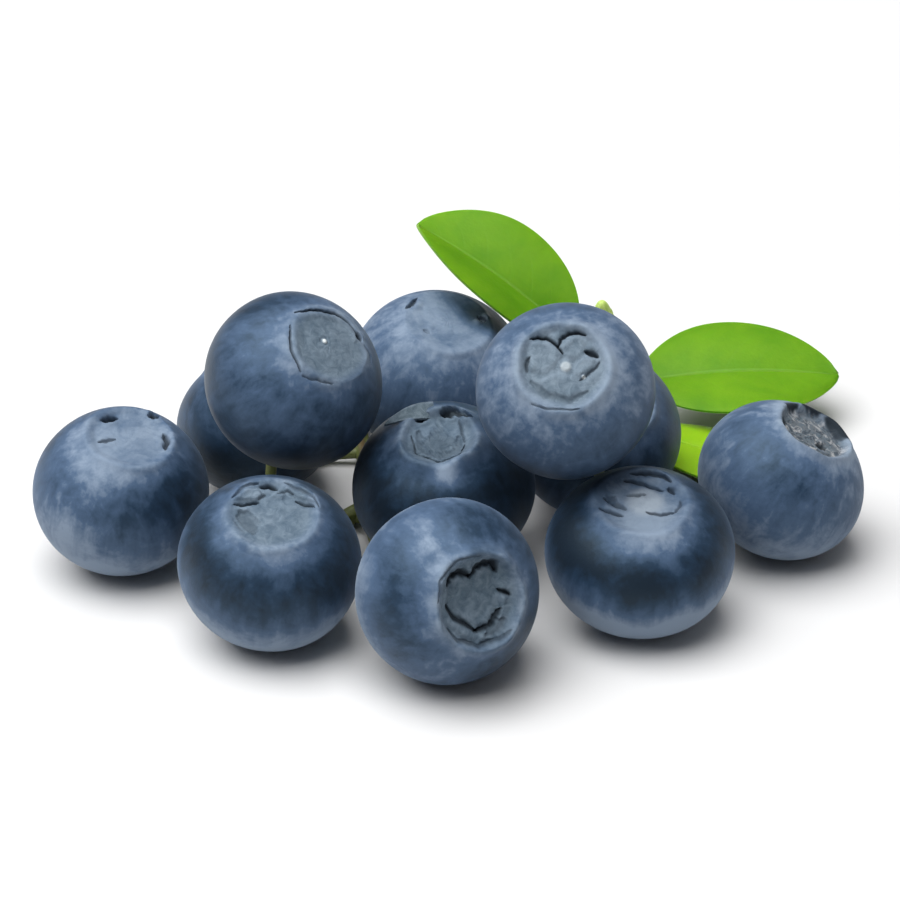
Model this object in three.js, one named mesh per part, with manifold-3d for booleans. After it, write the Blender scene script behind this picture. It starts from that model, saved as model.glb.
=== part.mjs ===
// A blueberry sprig lying on a table: a cut twig with a leafy tip and two racemes of ripe berries.
// Millimetres, +Z up. The origin is the middle of the footprint, on the table.
// In the layout below +X runs along the sprig and +Y points away from the heap's front.
import * as THREE from "three";
import { mergeVertices } from "three/addons/utils/BufferGeometryUtils.js";
import Module from "manifold-3d";

const wasm = await Module();
wasm.setup();

// The point of the layout that becomes the origin
const FOOTPRINT_MIDDLE = [0.07, 4.33, -0.03];

// Stems
const TWIG_RADIUS = 1.1;
const RACHIS_RADIUS = 0.7;
const PEDICEL_RADIUS = 0.5;
const STEM_SIDES = 8;
const STEM_STEP = 2.4; // length of one straight piece of a stem
const BUD_LENGTH = 3.4;
const BUD_RADIUS = 0.95;
const CLEARANCE = 0.3; // between a stem's end and what it grows from or into

// Berries, as shares of the berry's own radius or half height
const BERRY_SEGMENTS = 20;
const CROWN_FLOOR_RADIUS = 0.34;
const CROWN_FLOOR_HEIGHT = 0.8;
const CROWN_RIM_RADIUS = 0.46;
const CROWN_RIM_HEIGHT = 0.99;
const CROWN_FOOT_RADIUS = 0.55;
const CROWN_LOBES = 5;
const CROWN_LOBE_RISE = 0.05;
const BODY_STEPS = 9;

// Leaves
const LEAF_THICKNESS = 0.45;
const LEAF_STATIONS = 11;
const LEAF_END_WIDTH = 0.35; // half the width left at the base and at the tip
const LEAF_ACROSS = [-1, -0.5, 0, 0.5, 1];
const PETIOLE_RADIUS = 0.5;

// Each berry has its middle, its radius at the waist, its height as a share of its width,
// and the way its crown looks.
const BERRIES = [
  { name: "01", at: [-29, 0.8, 7.35], radius: 7.75, height: 0.93, crown: [0.05, -0.32, 0.95] },
  { name: "02", at: [-15.4, -10.8, 7.1], radius: 7.9, height: 0.88, crown: [0.06, -0.39, 0.92] },
  { name: "03", at: [-13.7, 3.3, 17.1], radius: 8, height: 0.92, crown: [0.49, -0.43, 0.76] },
  { name: "04", at: [-17.6, 13.8, 6.8], radius: 7.4, height: 0.88, crown: [-0.2, 0.5, 0.84] },
  { name: "05", at: [-1.2, 21.2, 7.75], radius: 8.35, height: 0.92, crown: [0.15, -0.23, 0.96] },
  { name: "06", at: [-0.6, 2.1, 7.1], radius: 8.1, height: 0.85, crown: [-0.06, -0.32, 0.95] },
  { name: "07", at: [-0.2, -16.5, 7.8], radius: 7.9, height: 0.92, crown: [0.37, -0.86, 0.34] },
  { name: "08", at: [9.9, -3.2, 19.7], radius: 7.7, height: 0.9, crown: [-0.03, -0.68, 0.74] },
  { name: "09", at: [13.1, 11.2, 7.4], radius: 8, height: 0.88, crown: [0.25, -0.52, 0.82] },
  { name: "10", at: [16.4, -8.2, 6.6], radius: 8.2, height: 0.78, crown: [0, -0.32, 0.95] },
  { name: "11", at: [29.4, 3.5, 6.9], radius: 7.6, height: 0.88, crown: [0.47, -0.07, 0.88] },
];

// The twig lies behind the heap and its tip turns up.
const TWIG_ROUTE = [
  [-21, 30.6, 1.1],
  [-10, 31.4, 1.1],
  [0, 31.6, 1.15],
  [7.5, 30, 1.8],
  [12.6, 26.6, 4.2],
  [14.6, 24.2, 7.6],
  [14.3, 23, 11.3],
];

// The axis of each raceme runs from the twig along the table, between the berries.
const RACHIS_ROUTES = {
  left_rachis: [
    [-9, 29.8, 1.3],
    [-8.4, 21, 1.1],
    [-7.6, 14, 1.1],
    [-7.9, 8.6, 1.1],
    [-10.5, 5.6, 1.2],
    [-15.2, 3.6, 1.5],
  ],
  right_rachis: [
    [11, 26.8, 1.5],
    [15, 23.5, 1.2],
    [18.8, 18, 1.1],
    [19.8, 12, 1.1],
    [19.4, 6, 1.1],
    [18.6, 2.6, 1.2],
  ],
};

// Each berry's own stalk, from beside its rachis to beneath or behind the berry.
const PEDICEL_ROUTES = {
  "01": [[-13, 6.1, 1.1], [-16, 6.9, 0.8], [-21.5, 6.2, 0.7], [-26.2, 4.6, 0.7]],
  "02": [[-12.4, 3.2, 1.1], [-12.6, 0.5, 0.8], [-14.2, -3.2, 0.7], [-15.6, -6.2, 0.7]],
  "03": [[-16.3, 3.4, 2], [-16.1, 3.9, 5], [-15.75, 4.75, 9.3]],
  "04": [[-9.4, 18.4, 1], [-11.6, 18.3, 0.8], [-14.1, 17.1, 0.7]],
  "05": [[-7.4, 25, 1], [-6.4, 24.7, 0.8], [-5.2, 23.9, 0.7]],
  "06": [[-6.2, 10, 1], [-5.4, 8, 0.8], [-4.3, 5.4, 0.7]],
  "07": [
    [-7.7, 6.3, 1.1],
    [-6.5, 1, 0.8],
    [-5.7, -5, 1.2],
    [-4.4, -8, 2.8],
    [-3.3, -8.6, 4.4],
    [-2.9, -9.5, 5.2],
  ],
  "08": [[17.9, 5.2, 1.3], [15.6, 3.4, 2.6], [14, 2.2, 6], [12.6, 1.9, 10], [10.4, 1.8, 13.8]],
  "09": [[17.9, 15.3, 1], [17.1, 15.2, 0.8], [16.4, 14.7, 0.8]],
  10: [[18.2, 1.3, 1.1], [17.4, -1, 0.8], [16.7, -3.3, 0.7]],
  11: [[21, 8.2, 1], [22.6, 6.8, 0.8], [24.9, 4.9, 0.8]],
};

// Each leaf has the start of its petiole, the ends of its midrib, the side its upper face looks to,
// the height of its arch, half its width, the angle that each half is folded up, where along its length
// it is widest, how blunt its ends are and how far it twists from base to tip.
const LEAVES = [
  {
    name: "leaf_upper",
    petiole: [12.75, 22.7, 9.7],
    base: [11.4, 22.9, 11.05],
    tip: [-3.05, 28.3, 19.8],
    face: [0.563, -0.416, 0.714],
    arch: 0.7,
    halfWidth: 6.3,
    fold: 26,
    widest: 0.515,
    blunt: 0.5,
    twist: -30,
  },
  {
    name: "leaf_right",
    petiole: [15.1, 26.4, 5.0],
    base: [17.8, 26, 4.5],
    tip: [36.8, 27.4, 4.4],
    face: [0.186, -0.15, 0.971],
    arch: 0.85,
    halfWidth: 7.2,
    fold: 10.5,
    widest: 0.47,
    blunt: 0.66,
    twist: -7,
  },
  {
    name: "leaf_low",
    petiole: [14.3, 26.6, 2.5],
    base: [17.9, 19.6, 2.7],
    tip: [34.3, 11, 1.1],
    face: [0, 0.05, 1],
    arch: 0.3,
    halfWidth: 5.1,
    fold: 5,
    widest: 0.42,
    blunt: 0.7,
    twist: 0,
  },
];

const skin = new THREE.MeshStandardMaterial({ color: 0x4a5a7e, roughness: 0.55, metalness: 0 });
const greenStem = new THREE.MeshStandardMaterial({ color: 0x8a9a4c, roughness: 0.6, metalness: 0 });
const bark = new THREE.MeshStandardMaterial({ color: 0x7a6a44, roughness: 0.75, metalness: 0 });
const blade = new THREE.MeshStandardMaterial({ color: 0x79ad2c, roughness: 0.45, metalness: 0 });
const budScale = new THREE.MeshStandardMaterial({ color: 0xb4c064, roughness: 0.55, metalness: 0 });

const vector = (xyz) => new THREE.Vector3(...xyz);

/** A round bar of the given radius along a smooth route. */
function stemGeometry(route, radius) {
  const path = new THREE.CatmullRomCurve3(route.map(vector));
  const section = new THREE.Shape();
  for (let side = 0; side < STEM_SIDES; side++) {
    const angle = (side / STEM_SIDES) * 2 * Math.PI;
    const corner = [radius * Math.cos(angle), radius * Math.sin(angle)];
    side === 0 ? section.moveTo(...corner) : section.lineTo(...corner);
  }
  section.closePath();
  const steps = Math.max(3, Math.ceil(path.getLength() / STEM_STEP));
  return new THREE.ExtrudeGeometry(section, { steps, extrudePath: path });
}

/** Half of a berry's section, from its stalk end up to the middle of its crown. */
function berryProfile(radius, halfHeight) {
  const points = [];
  const shoulder = Math.asin(CROWN_FOOT_RADIUS + 0.07);
  for (let step = 0; step <= BODY_STEPS; step++) {
    const angle = Math.PI + ((shoulder - Math.PI) * step) / BODY_STEPS;
    points.push([Math.sin(angle), Math.cos(angle)]);
  }
  points[0] = [0, -1];
  points.push([CROWN_FOOT_RADIUS, 0.85]);
  points.push([CROWN_RIM_RADIUS + 0.04, CROWN_RIM_HEIGHT - 0.03]);
  points.push([CROWN_RIM_RADIUS - 0.03, CROWN_RIM_HEIGHT]);
  points.push([CROWN_FLOOR_RADIUS, CROWN_FLOOR_HEIGHT]);
  points.push([0, CROWN_FLOOR_HEIGHT]);
  return points.map(([out, up]) => new THREE.Vector2(out * radius, up * halfHeight));
}

/** A berry standing on its stalk end, its five-lobed crown on top. */
function berryGeometry({ radius, height }) {
  const halfHeight = radius * height;
  const geometry = new THREE.LatheGeometry(berryProfile(radius, halfHeight), BERRY_SEGMENTS);
  geometry.rotateX(Math.PI / 2);
  const position = geometry.getAttribute("position");
  const point = new THREE.Vector3();
  for (let i = 0; i < position.count; i++) {
    point.fromBufferAttribute(position, i);
    if (point.z < 0.94 * halfHeight) continue;
    const turn = Math.atan2(point.y, point.x);
    position.setZ(i, point.z + CROWN_LOBE_RISE * halfHeight * Math.cos(CROWN_LOBES * turn));
  }
  return geometry;
}

/** The width of a leaf at a share of its length, as a share of its greatest width. */
function leafOutline(share, widest, blunt) {
  const bend = Math.log(0.5) / Math.log(widest);
  return Math.pow(Math.max(0, Math.sin(Math.PI * Math.pow(share, bend))), blunt);
}

/** A thin blade folded a little along its arched midrib, closed at its edges, base and tip. */
function bladeGeometry({ base, tip, face, arch, halfWidth, fold, widest, blunt, twist }) {
  const start = vector(base);
  const along = vector(tip).sub(start);
  const length = along.length();
  along.normalize();
  const up = vector(face).projectOnPlane(along).normalize();
  const across = new THREE.Vector3().crossVectors(along, up);
  const lift = Math.sin(THREE.MathUtils.degToRad(fold));
  const spread = Math.cos(THREE.MathUtils.degToRad(fold));
  const points = [];
  for (let station = 0; station <= LEAF_STATIONS; station++) {
    const share = station / LEAF_STATIONS;
    const half = Math.max(LEAF_END_WIDTH, halfWidth * leafOutline(share, widest, blunt));
    const rise = arch * Math.sin(Math.PI * share);
    const ring = [
      ...LEAF_ACROSS.map((v) => [v, LEAF_THICKNESS / 2]),
      ...LEAF_ACROSS.toReversed().map((v) => [v, -LEAF_THICKNESS / 2]),
    ];
    const turn = THREE.MathUtils.degToRad(twist) * (share - 0.5);
    for (const [v, side] of ring) {
      const out = half * v * spread;
      const over = half * Math.abs(v) * lift + side;
      points.push(
        start
          .clone()
          .addScaledVector(along, length * share)
          .addScaledVector(across, out * Math.cos(turn) - over * Math.sin(turn))
          .addScaledVector(up, rise + out * Math.sin(turn) + over * Math.cos(turn)),
      );
    }
  }
  return loftGeometry(points, 2 * LEAF_ACROSS.length);
}

/** A closed skin over a row of rings that all have the same number of points. */
function loftGeometry(points, ringSize) {
  const rings = points.length / ringSize;
  const index = [];
  for (let ring = 0; ring + 1 < rings; ring++) {
    for (let i = 0; i < ringSize; i++) {
      const here = ring * ringSize;
      const next = here + ringSize;
      const j = (i + 1) % ringSize;
      index.push(here + i, here + j, next + j);
      index.push(here + i, next + j, next + i);
    }
  }
  const last = (rings - 1) * ringSize;
  const half = ringSize / 2;
  for (let i = 0; i + 1 < half; i++) {
    const a = i;
    const b = i + 1;
    const c = ringSize - 2 - i;
    const d = ringSize - 1 - i;
    index.push(a, c, b, a, d, c);
    index.push(last + a, last + b, last + c, last + a, last + c, last + d);
  }
  return new THREE.BufferGeometry().setFromPoints(points).setIndex(index);
}

/** A closed geometry as a solid that can be joined to others. */
function solidOf(geometry) {
  const bare = geometry.clone();
  bare.deleteAttribute("normal");
  bare.deleteAttribute("uv");
  const merged = mergeVertices(bare, 1e-4);
  const vertProperties = merged.getAttribute("position").array;
  const triVerts = new Uint32Array(merged.index.array);
  return new wasm.Manifold(new wasm.Mesh({ numProp: 3, vertProperties, triVerts }));
}

/** Two overlapping closed geometries joined into one. */
function joined(first, second) {
  const mesh = solidOf(first).add(solidOf(second)).getMesh();
  const geometry = new THREE.BufferGeometry();
  geometry.setAttribute("position", new THREE.BufferAttribute(mesh.vertProperties, 3));
  geometry.setIndex(new THREE.BufferAttribute(mesh.triVerts, 1));
  return geometry;
}

/** A leaf with its petiole, which runs a little way into the midrib. */
function leafGeometry(leaf) {
  const base = vector(leaf.base);
  const inside = base.clone().lerp(vector(leaf.tip), 0.12);
  inside.addScaledVector(vector(leaf.face).normalize(), leaf.arch * Math.sin(0.12 * Math.PI));
  const petiole = stemGeometry([leaf.petiole, base.toArray(), inside.toArray()], PETIOLE_RADIUS);
  return joined(bladeGeometry(leaf), petiole);
}

/** The closed bud at the twig's growing tip, pointing up from its foot. */
function budGeometry() {
  const profile = [
    [0, 0],
    [0.75, 0],
    [1, 0.3],
    [0.8, 0.62],
    [0.35, 0.9],
    [0, 1],
  ];
  const points = profile.map(([out, up]) => new THREE.Vector2(out * BUD_RADIUS, up * BUD_LENGTH));
  return new THREE.LatheGeometry(points, 12).rotateX(Math.PI / 2);
}

const sprig = new THREE.Group();
const heap = new THREE.Group();
sprig.add(heap);

function place(name, geometry, material) {
  const mesh = new THREE.Mesh(geometry, material);
  mesh.name = name;
  heap.add(mesh);
  return mesh;
}

place("twig", stemGeometry(TWIG_ROUTE, TWIG_RADIUS), bark);

const [beforeTip, twigTip] = TWIG_ROUTE.slice(-2).map(vector);
const growth = twigTip.clone().sub(beforeTip).normalize();
const bud = place("terminal_bud", budGeometry(), budScale);
bud.position.copy(twigTip).addScaledVector(growth, CLEARANCE);
bud.quaternion.setFromUnitVectors(new THREE.Vector3(0, 0, 1), growth);

for (const [name, route] of Object.entries(RACHIS_ROUTES)) {
  place(name, stemGeometry(route, RACHIS_RADIUS), greenStem);
}

for (const berry of BERRIES) {
  const mesh = place("berry_" + berry.name, berryGeometry(berry), skin);
  mesh.position.set(...berry.at);
  mesh.quaternion.setFromUnitVectors(new THREE.Vector3(0, 0, 1), vector(berry.crown).normalize());
  place("pedicel_" + berry.name, stemGeometry(PEDICEL_ROUTES[berry.name], PEDICEL_RADIUS), greenStem);
}

for (const leaf of LEAVES) {
  place(leaf.name, leafGeometry(leaf), blade);
}

heap.position.copy(vector(FOOTPRINT_MIDDLE)).negate();

export default sprig;
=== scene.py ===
"""A blueberry sprig on a pale floor: bloom-dusted berries, thin stalks, a cut twig and its leaves.

Lengths in the classes are millimetres in the layout that the sprig is drawn in, and MM turns them to metres.
"""

import logging
import math
from dataclasses import dataclass, field
from enum import Enum

import bpy
import numpy as np
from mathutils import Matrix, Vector


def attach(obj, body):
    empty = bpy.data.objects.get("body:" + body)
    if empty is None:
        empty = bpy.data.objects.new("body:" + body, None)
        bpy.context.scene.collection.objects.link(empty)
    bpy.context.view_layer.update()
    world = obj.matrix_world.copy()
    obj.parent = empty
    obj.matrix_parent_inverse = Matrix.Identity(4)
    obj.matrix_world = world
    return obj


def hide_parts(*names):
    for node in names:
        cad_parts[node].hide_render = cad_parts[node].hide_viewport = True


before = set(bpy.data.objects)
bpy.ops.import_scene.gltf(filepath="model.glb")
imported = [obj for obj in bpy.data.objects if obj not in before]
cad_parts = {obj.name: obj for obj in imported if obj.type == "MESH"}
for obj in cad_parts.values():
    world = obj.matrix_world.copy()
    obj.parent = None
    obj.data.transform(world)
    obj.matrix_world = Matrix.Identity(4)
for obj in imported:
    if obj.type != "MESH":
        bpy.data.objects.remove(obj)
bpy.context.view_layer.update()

LOG = logging.getLogger("sprig")

Point = tuple[float, float, float]
Colour = tuple[float, float, float, float]

MM = 0.001
FOOTPRINT_MIDDLE = np.array((0.07, 4.33, -0.03))
SMOOTH_UP_TO = math.radians(50)
SEAM = 1e-6
BLADE_SEAM = 1e-7


def to_frame(points: object) -> np.ndarray:
    """Turn points in layout millimetres into metres from the middle of the footprint."""
    return (np.asarray(points, float) - FOOTPRINT_MIDDLE) * MM


def smooth(low: float, high: float, value: np.ndarray) -> np.ndarray:
    """Ease values from 0 at low to 1 at high, where high may be below low."""
    share = np.clip((value - low) / (high - low), 0.0, 1.0)
    return share * share * (3.0 - 2.0 * share)


def bell(value: np.ndarray, middle: float, width: float) -> np.ndarray:
    """Give a bell curve of height 1 around a middle."""
    return np.exp(-(((value - middle) / width) ** 2))


def turn_between(first: np.ndarray, second: float) -> np.ndarray:
    """Give the angle from second to first, wrapped to half a turn either way."""
    return (first - second + np.pi) % (2.0 * np.pi) - np.pi


# Mesh helpers


def select_only(obj: bpy.types.Object) -> None:
    """Make one object the only selected and the active one.

    Args:
        obj: The object.
    """
    bpy.ops.object.select_all(action="DESELECT")
    obj.select_set(True)
    bpy.context.view_layer.objects.active = obj


def points_of(obj: bpy.types.Object) -> np.ndarray:
    """Read a mesh's vertices.

    Args:
        obj: The mesh object.

    Returns:
        Rows of x, y and z, in metres.
    """
    flat = np.empty(len(obj.data.vertices) * 3)
    obj.data.vertices.foreach_get("co", flat)
    return flat.reshape(-1, 3)


def set_points(obj: bpy.types.Object, points: np.ndarray) -> None:
    """Write a mesh's vertices back from rows of x, y, z."""
    obj.data.vertices.foreach_set("co", np.ascontiguousarray(points).ravel())
    obj.data.update()


def set_attribute(obj: bpy.types.Object, name: str, values: np.ndarray) -> None:
    """Store a number or a vector on each vertex for the materials to read.

    Args:
        obj: The mesh object.
        name: The attribute's name.
        values: One number or one row of three for each vertex.
    """
    kind, key = ("FLOAT", "value") if values.ndim == 1 else ("FLOAT_VECTOR", "vector")
    layer = obj.data.attributes.new(name, kind, "POINT")
    layer.data.foreach_set(key, np.ascontiguousarray(values, dtype=np.float32).ravel())


def close_seams(obj: bpy.types.Object, distance: float) -> None:
    """Merge doubled vertices and turn every face outwards.

    Args:
        obj: The mesh object.
        distance: Vertices nearer than this become one, in metres.
    """
    select_only(obj)
    bpy.ops.object.mode_set(mode="EDIT")
    bpy.ops.mesh.select_all(action="SELECT")
    bpy.ops.mesh.remove_doubles(threshold=distance)
    bpy.ops.mesh.normals_make_consistent(inside=False)
    bpy.ops.object.mode_set(mode="OBJECT")


def join(pieces: list[bpy.types.Object], name: str) -> bpy.types.Object:
    """Join meshes that grew as one piece.

    Args:
        pieces: The meshes; the first one keeps its materials' order.
        name: The joined object's name.

    Returns:
        The joined object.
    """
    select_only(pieces[0])
    for piece in pieces[1:]:
        piece.select_set(True)
    bpy.ops.object.join()
    pieces[0].name = name
    return pieces[0]


def settle(obj: bpy.types.Object, node: str) -> bpy.types.Object:
    """Smooth a finished piece and let it stand for its node.

    Args:
        obj: The finished mesh, at the origin with its place in its mesh.
        node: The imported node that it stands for.

    Returns:
        The same object.
    """
    select_only(obj)
    bpy.ops.object.shade_smooth_by_angle(angle=SMOOTH_UP_TO)
    obj.name = node + "_look"
    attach(obj, "root")
    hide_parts(node)
    LOG.info("%s: %d faces", obj.name, len(obj.data.polygons))
    return obj


# Shader helpers


class Sock:
    """An output socket whose arithmetic adds Math nodes to its tree."""

    def __init__(self, shade: "Shade", socket: bpy.types.NodeSocket) -> None:
        """Keep the tree and its socket together."""
        self.shade = shade
        self.socket = socket

    def _math(self, operation: str, first: object, second: object) -> "Sock":
        """Add one Math node on two values."""
        return self.shade.node("ShaderNodeMath", {"operation": operation}, {0: first, 1: second})

    def __add__(self, other: object) -> "Sock":
        """Add a value."""
        return self._math("ADD", self, other)

    def __radd__(self, other: object) -> "Sock":
        """Add to a value."""
        return self._math("ADD", other, self)

    def __sub__(self, other: object) -> "Sock":
        """Take a value away."""
        return self._math("SUBTRACT", self, other)

    def __rsub__(self, other: object) -> "Sock":
        """Take from a value."""
        return self._math("SUBTRACT", other, self)

    def __mul__(self, other: object) -> "Sock":
        """Multiply by a value."""
        return self._math("MULTIPLY", self, other)

    def __rmul__(self, other: object) -> "Sock":
        """Multiply a value."""
        return self._math("MULTIPLY", other, self)

    def __pow__(self, other: object) -> "Sock":
        """Raise to a power."""
        return self._math("POWER", self, other)

    def __abs__(self) -> "Sock":
        """Drop the sign."""
        return self._math("ABSOLUTE", self, 0.0)

    def wave(self) -> "Sock":
        """Give the distance to the nearest whole number, from 0 to a half."""
        return self._math("PINGPONG", self, 0.5)

    def between(self, low: float, high: float) -> "Sock":
        """Ease from 0 at low to 1 at high, where high may be below low."""
        sockets = {"Value": self, "From Min": low, "From Max": high}
        return self.shade.node("ShaderNodeMapRange", {"interpolation_type": "SMOOTHSTEP"}, sockets)


class Shade:
    """The node tree of one material, or of the room's light."""

    def __init__(self, owner: bpy.types.Material | bpy.types.World) -> None:
        """Start with an empty tree.

        Args:
            owner: The material or world that the tree belongs to.
        """
        self.owner = owner
        self.owner.use_nodes = True
        self.tree = self.owner.node_tree
        self.tree.nodes.clear()

    @classmethod
    def surface(cls, name: str) -> "Shade":
        """Start a new material."""
        return cls(bpy.data.materials.new(name))

    def node(
        self, kind: str, settings: dict | None = None, sockets: dict | None = None, output: object = 0
    ) -> Sock:
        """Add one node.

        Args:
            kind: The node's type.
            settings: Its properties, set first; stops are a colour ramp's places and colours.
            sockets: Values or links of its inputs, by name or number.
            output: The name or number of the output that is wanted.

        Returns:
            That output.
        """
        made = self.tree.nodes.new(kind)
        for name, value in (settings or {}).items():
            if name == "stops":
                self._set_stops(made.color_ramp, value)
            else:
                setattr(made, name, value)
        for key, value in (sockets or {}).items():
            if isinstance(value, Sock):
                self.tree.links.new(value.socket, made.inputs[key])
            else:
                made.inputs[key].default_value = value
        return Sock(self, made.outputs[output]) if made.outputs else Sock(self, None)

    @staticmethod
    def _set_stops(ramp: bpy.types.ColorRamp, stops: list[tuple[float, Colour]]) -> None:
        """Set a colour ramp's places and colours.

        Args:
            ramp: The ramp.
            stops: A place from 0 to 1 and a colour for each stop.
        """
        while len(ramp.elements) < len(stops):
            ramp.elements.new(1.0)
        for element, (place, colour) in zip(ramp.elements, stops):
            element.position = place
            element.color = colour

    def stored(self, name: str, output: str = "Fac") -> Sock:
        """Read an attribute that is stored on the vertices."""
        return self.node("ShaderNodeAttribute", {"attribute_name": name}, output=output)

    def stretched(self, vector: Sock, factors: Point) -> Sock:
        """Multiply a vector by three factors."""
        return self.node("ShaderNodeVectorMath", {"operation": "MULTIPLY"}, {0: vector, 1: factors})

    def noise(
        self, vector: Sock, scale: float, detail: float = 3.0, roughness: float = 0.55, twist: float = 0.0
    ) -> Sock:
        """Add a noise texture around a half, with finer layers by detail and roughness, warped by twist."""
        sockets = {"Vector": vector, "Scale": scale, "Detail": detail}
        return self.node("ShaderNodeTexNoise", None, {**sockets, "Roughness": roughness, "Distortion": twist})

    def mix(self, share: object, first: object, second: object) -> Sock:
        """Mix two colours by a share, 0 for the first and 1 for the second."""
        return self.node("ShaderNodeMix", {"data_type": "RGBA"}, {0: share, 6: first, 7: second}, 2)

    def ramp(self, share: Sock, stops: list[tuple[float, Colour]]) -> Sock:
        """Look a share up in a row of colours."""
        return self.node("ShaderNodeValToRGB", {"stops": stops}, {"Fac": share})

    def finish(self, sockets: dict, height: Sock | None = None, distance: float = 0.0) -> bpy.types.Material:
        """Close the tree with a surface shader.

        Args:
            sockets: Values or links of the shader's inputs.
            height: The relief, from 0 to 1, or none.
            distance: The relief's height in metres.

        Returns:
            The finished material.
        """
        if height is not None:
            sockets["Normal"] = self.node("ShaderNodeBump", None, {"Height": height, "Distance": distance})
        surface = self.node("ShaderNodeBsdfPrincipled", None, sockets)
        self.node("ShaderNodeOutputMaterial", None, {"Surface": surface})
        return self.owner


# Finishes


@dataclass(frozen=True)
class BerrySkin:
    """Dark blue skin under a rubbed coat of pale wax, greyer and drier inside the crown; its wax mark also
    carries painted light and shade, and its slits are painted dark as shade.

    Attributes:
        bare: Skin with no wax.
        thin: Skin under a thin coat.
        dusted: Skin under a fair coat.
        thick: Skin under a full coat.
        dry: The crown's floor.
        dry_pale: Pale wrinkles on that floor.
        wear_and_highlight: Pale edges of the rim and the slits: wear on the rim, and painted highlights on
            the slits' lips and raised edges.
        scar: The style's scar.
        brown: A floor that dried brown.
        flake: Pale flakes on it.
        dark: Painted shade in the slits, and dark crumbs.
        relief: The skin's relief, in millimetres.
    """

    bare: Colour = (0.004, 0.010, 0.020, 1.0)
    thin: Colour = (0.011, 0.027, 0.055, 1.0)
    dusted: Colour = (0.050, 0.085, 0.150, 1.0)
    thick: Colour = (0.178, 0.228, 0.302, 1.0)
    dry: Colour = (0.050, 0.073, 0.088, 1.0)
    dry_pale: Colour = (0.150, 0.192, 0.222, 1.0)
    wear_and_highlight: Colour = (0.205, 0.255, 0.315, 1.0)
    scar: Colour = (0.62, 0.66, 0.66, 1.0)
    brown: Colour = (0.075, 0.068, 0.062, 1.0)
    flake: Colour = (0.40, 0.39, 0.38, 1.0)
    dark: Colour = (0.002, 0.003, 0.006, 1.0)
    relief: float = 0.09

    def material(self) -> bpy.types.Material:
        """Build the material.

        Returns:
            A material that reads own_place, wax, side, crown, brown, rim, scar and gap from the vertices.
        """
        shade = Shade.surface("berry_skin")
        place = shade.stored("own_place", "Vector")
        crown = shade.stored("crown")
        cloud = shade.noise(place, 1.4, 2.5, 0.5, 0.4)
        streak = shade.noise(shade.stretched(place, (5.0, 5.0, 0.75)), 1.5, 3.0, 0.55, 0.3)
        grain = shade.noise(place, 16.0, 4.0, 0.65)
        rubbed = shade.noise(place, 2.6, 4.0, 0.6, 0.9).between(0.38, 0.62)
        # The wax attribute holds the bloom together with painted light and shade: painted top light, a
        # painted shade belt, painted floor reflection and painted spots.
        wax = shade.stored("wax") + (cloud - 0.5) * 0.45
        wax = wax + (streak - 0.5) * shade.stored("side") * 0.70 + (grain - 0.5) * 0.22
        wax = wax + (rubbed - 0.5) * 0.12
        stops = [(0.0, self.bare), (0.3, self.thin), (0.68, self.dusted), (1.0, self.thick)]
        skin = shade.ramp(wax, stops)
        wrinkle = shade.noise(place, 9.0, 5.0, 0.7, 0.8)
        floor = shade.mix(wrinkle.between(0.3, 0.7), self.dry, self.dry_pale)
        brown = shade.stored("brown")
        floor = shade.mix(brown * wrinkle.between(0.35, 0.6), floor, self.brown)
        flake = shade.noise(place, 7.5, 5.0, 0.7, 0.8)
        floor = shade.mix(brown * flake.between(0.50, 0.64), floor, self.flake)
        crumb = shade.noise(place, 12.0, 3.0, 0.7, 0.6)
        floor = shade.mix(brown * crumb.between(0.52, 0.60), floor, self.dark)
        colour = shade.mix(crown, skin, floor)
        edge = shade.noise(place, 6.0, 3.0, 0.6)
        # Pale rim marks: wear, and painted highlights on lips and raised edges.
        colour = shade.mix(shade.stored("rim") * edge.between(0.32, 0.68) * 0.75, colour, self.wear_and_highlight)
        colour = shade.mix(shade.stored("scar"), colour, self.scar)
        # Painted shade: slits and sunken patches are darkened towards black, where shade falls into them.
        colour = shade.mix(shade.stored("slit_shade"), colour, self.dark)
        rough = 0.46 + wax.between(0.1, 1.0) * 0.2 + crown * 0.15
        relief = grain * 0.25 + crown * wrinkle + brown * crown * crumb * 1.5
        sockets = {
            "Base Color": colour,
            "Roughness": rough,
            "Specular IOR Level": 0.34,
            "Specular Tint": (0.64, 0.85, 1.0, 1.0),
            "Sheen Weight": 0.08,
            "Sheen Roughness": 0.5,
            "Sheen Tint": (0.70, 0.84, 1.0, 1.0),
        }
        return shade.finish(sockets, relief, self.relief * MM)


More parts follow.
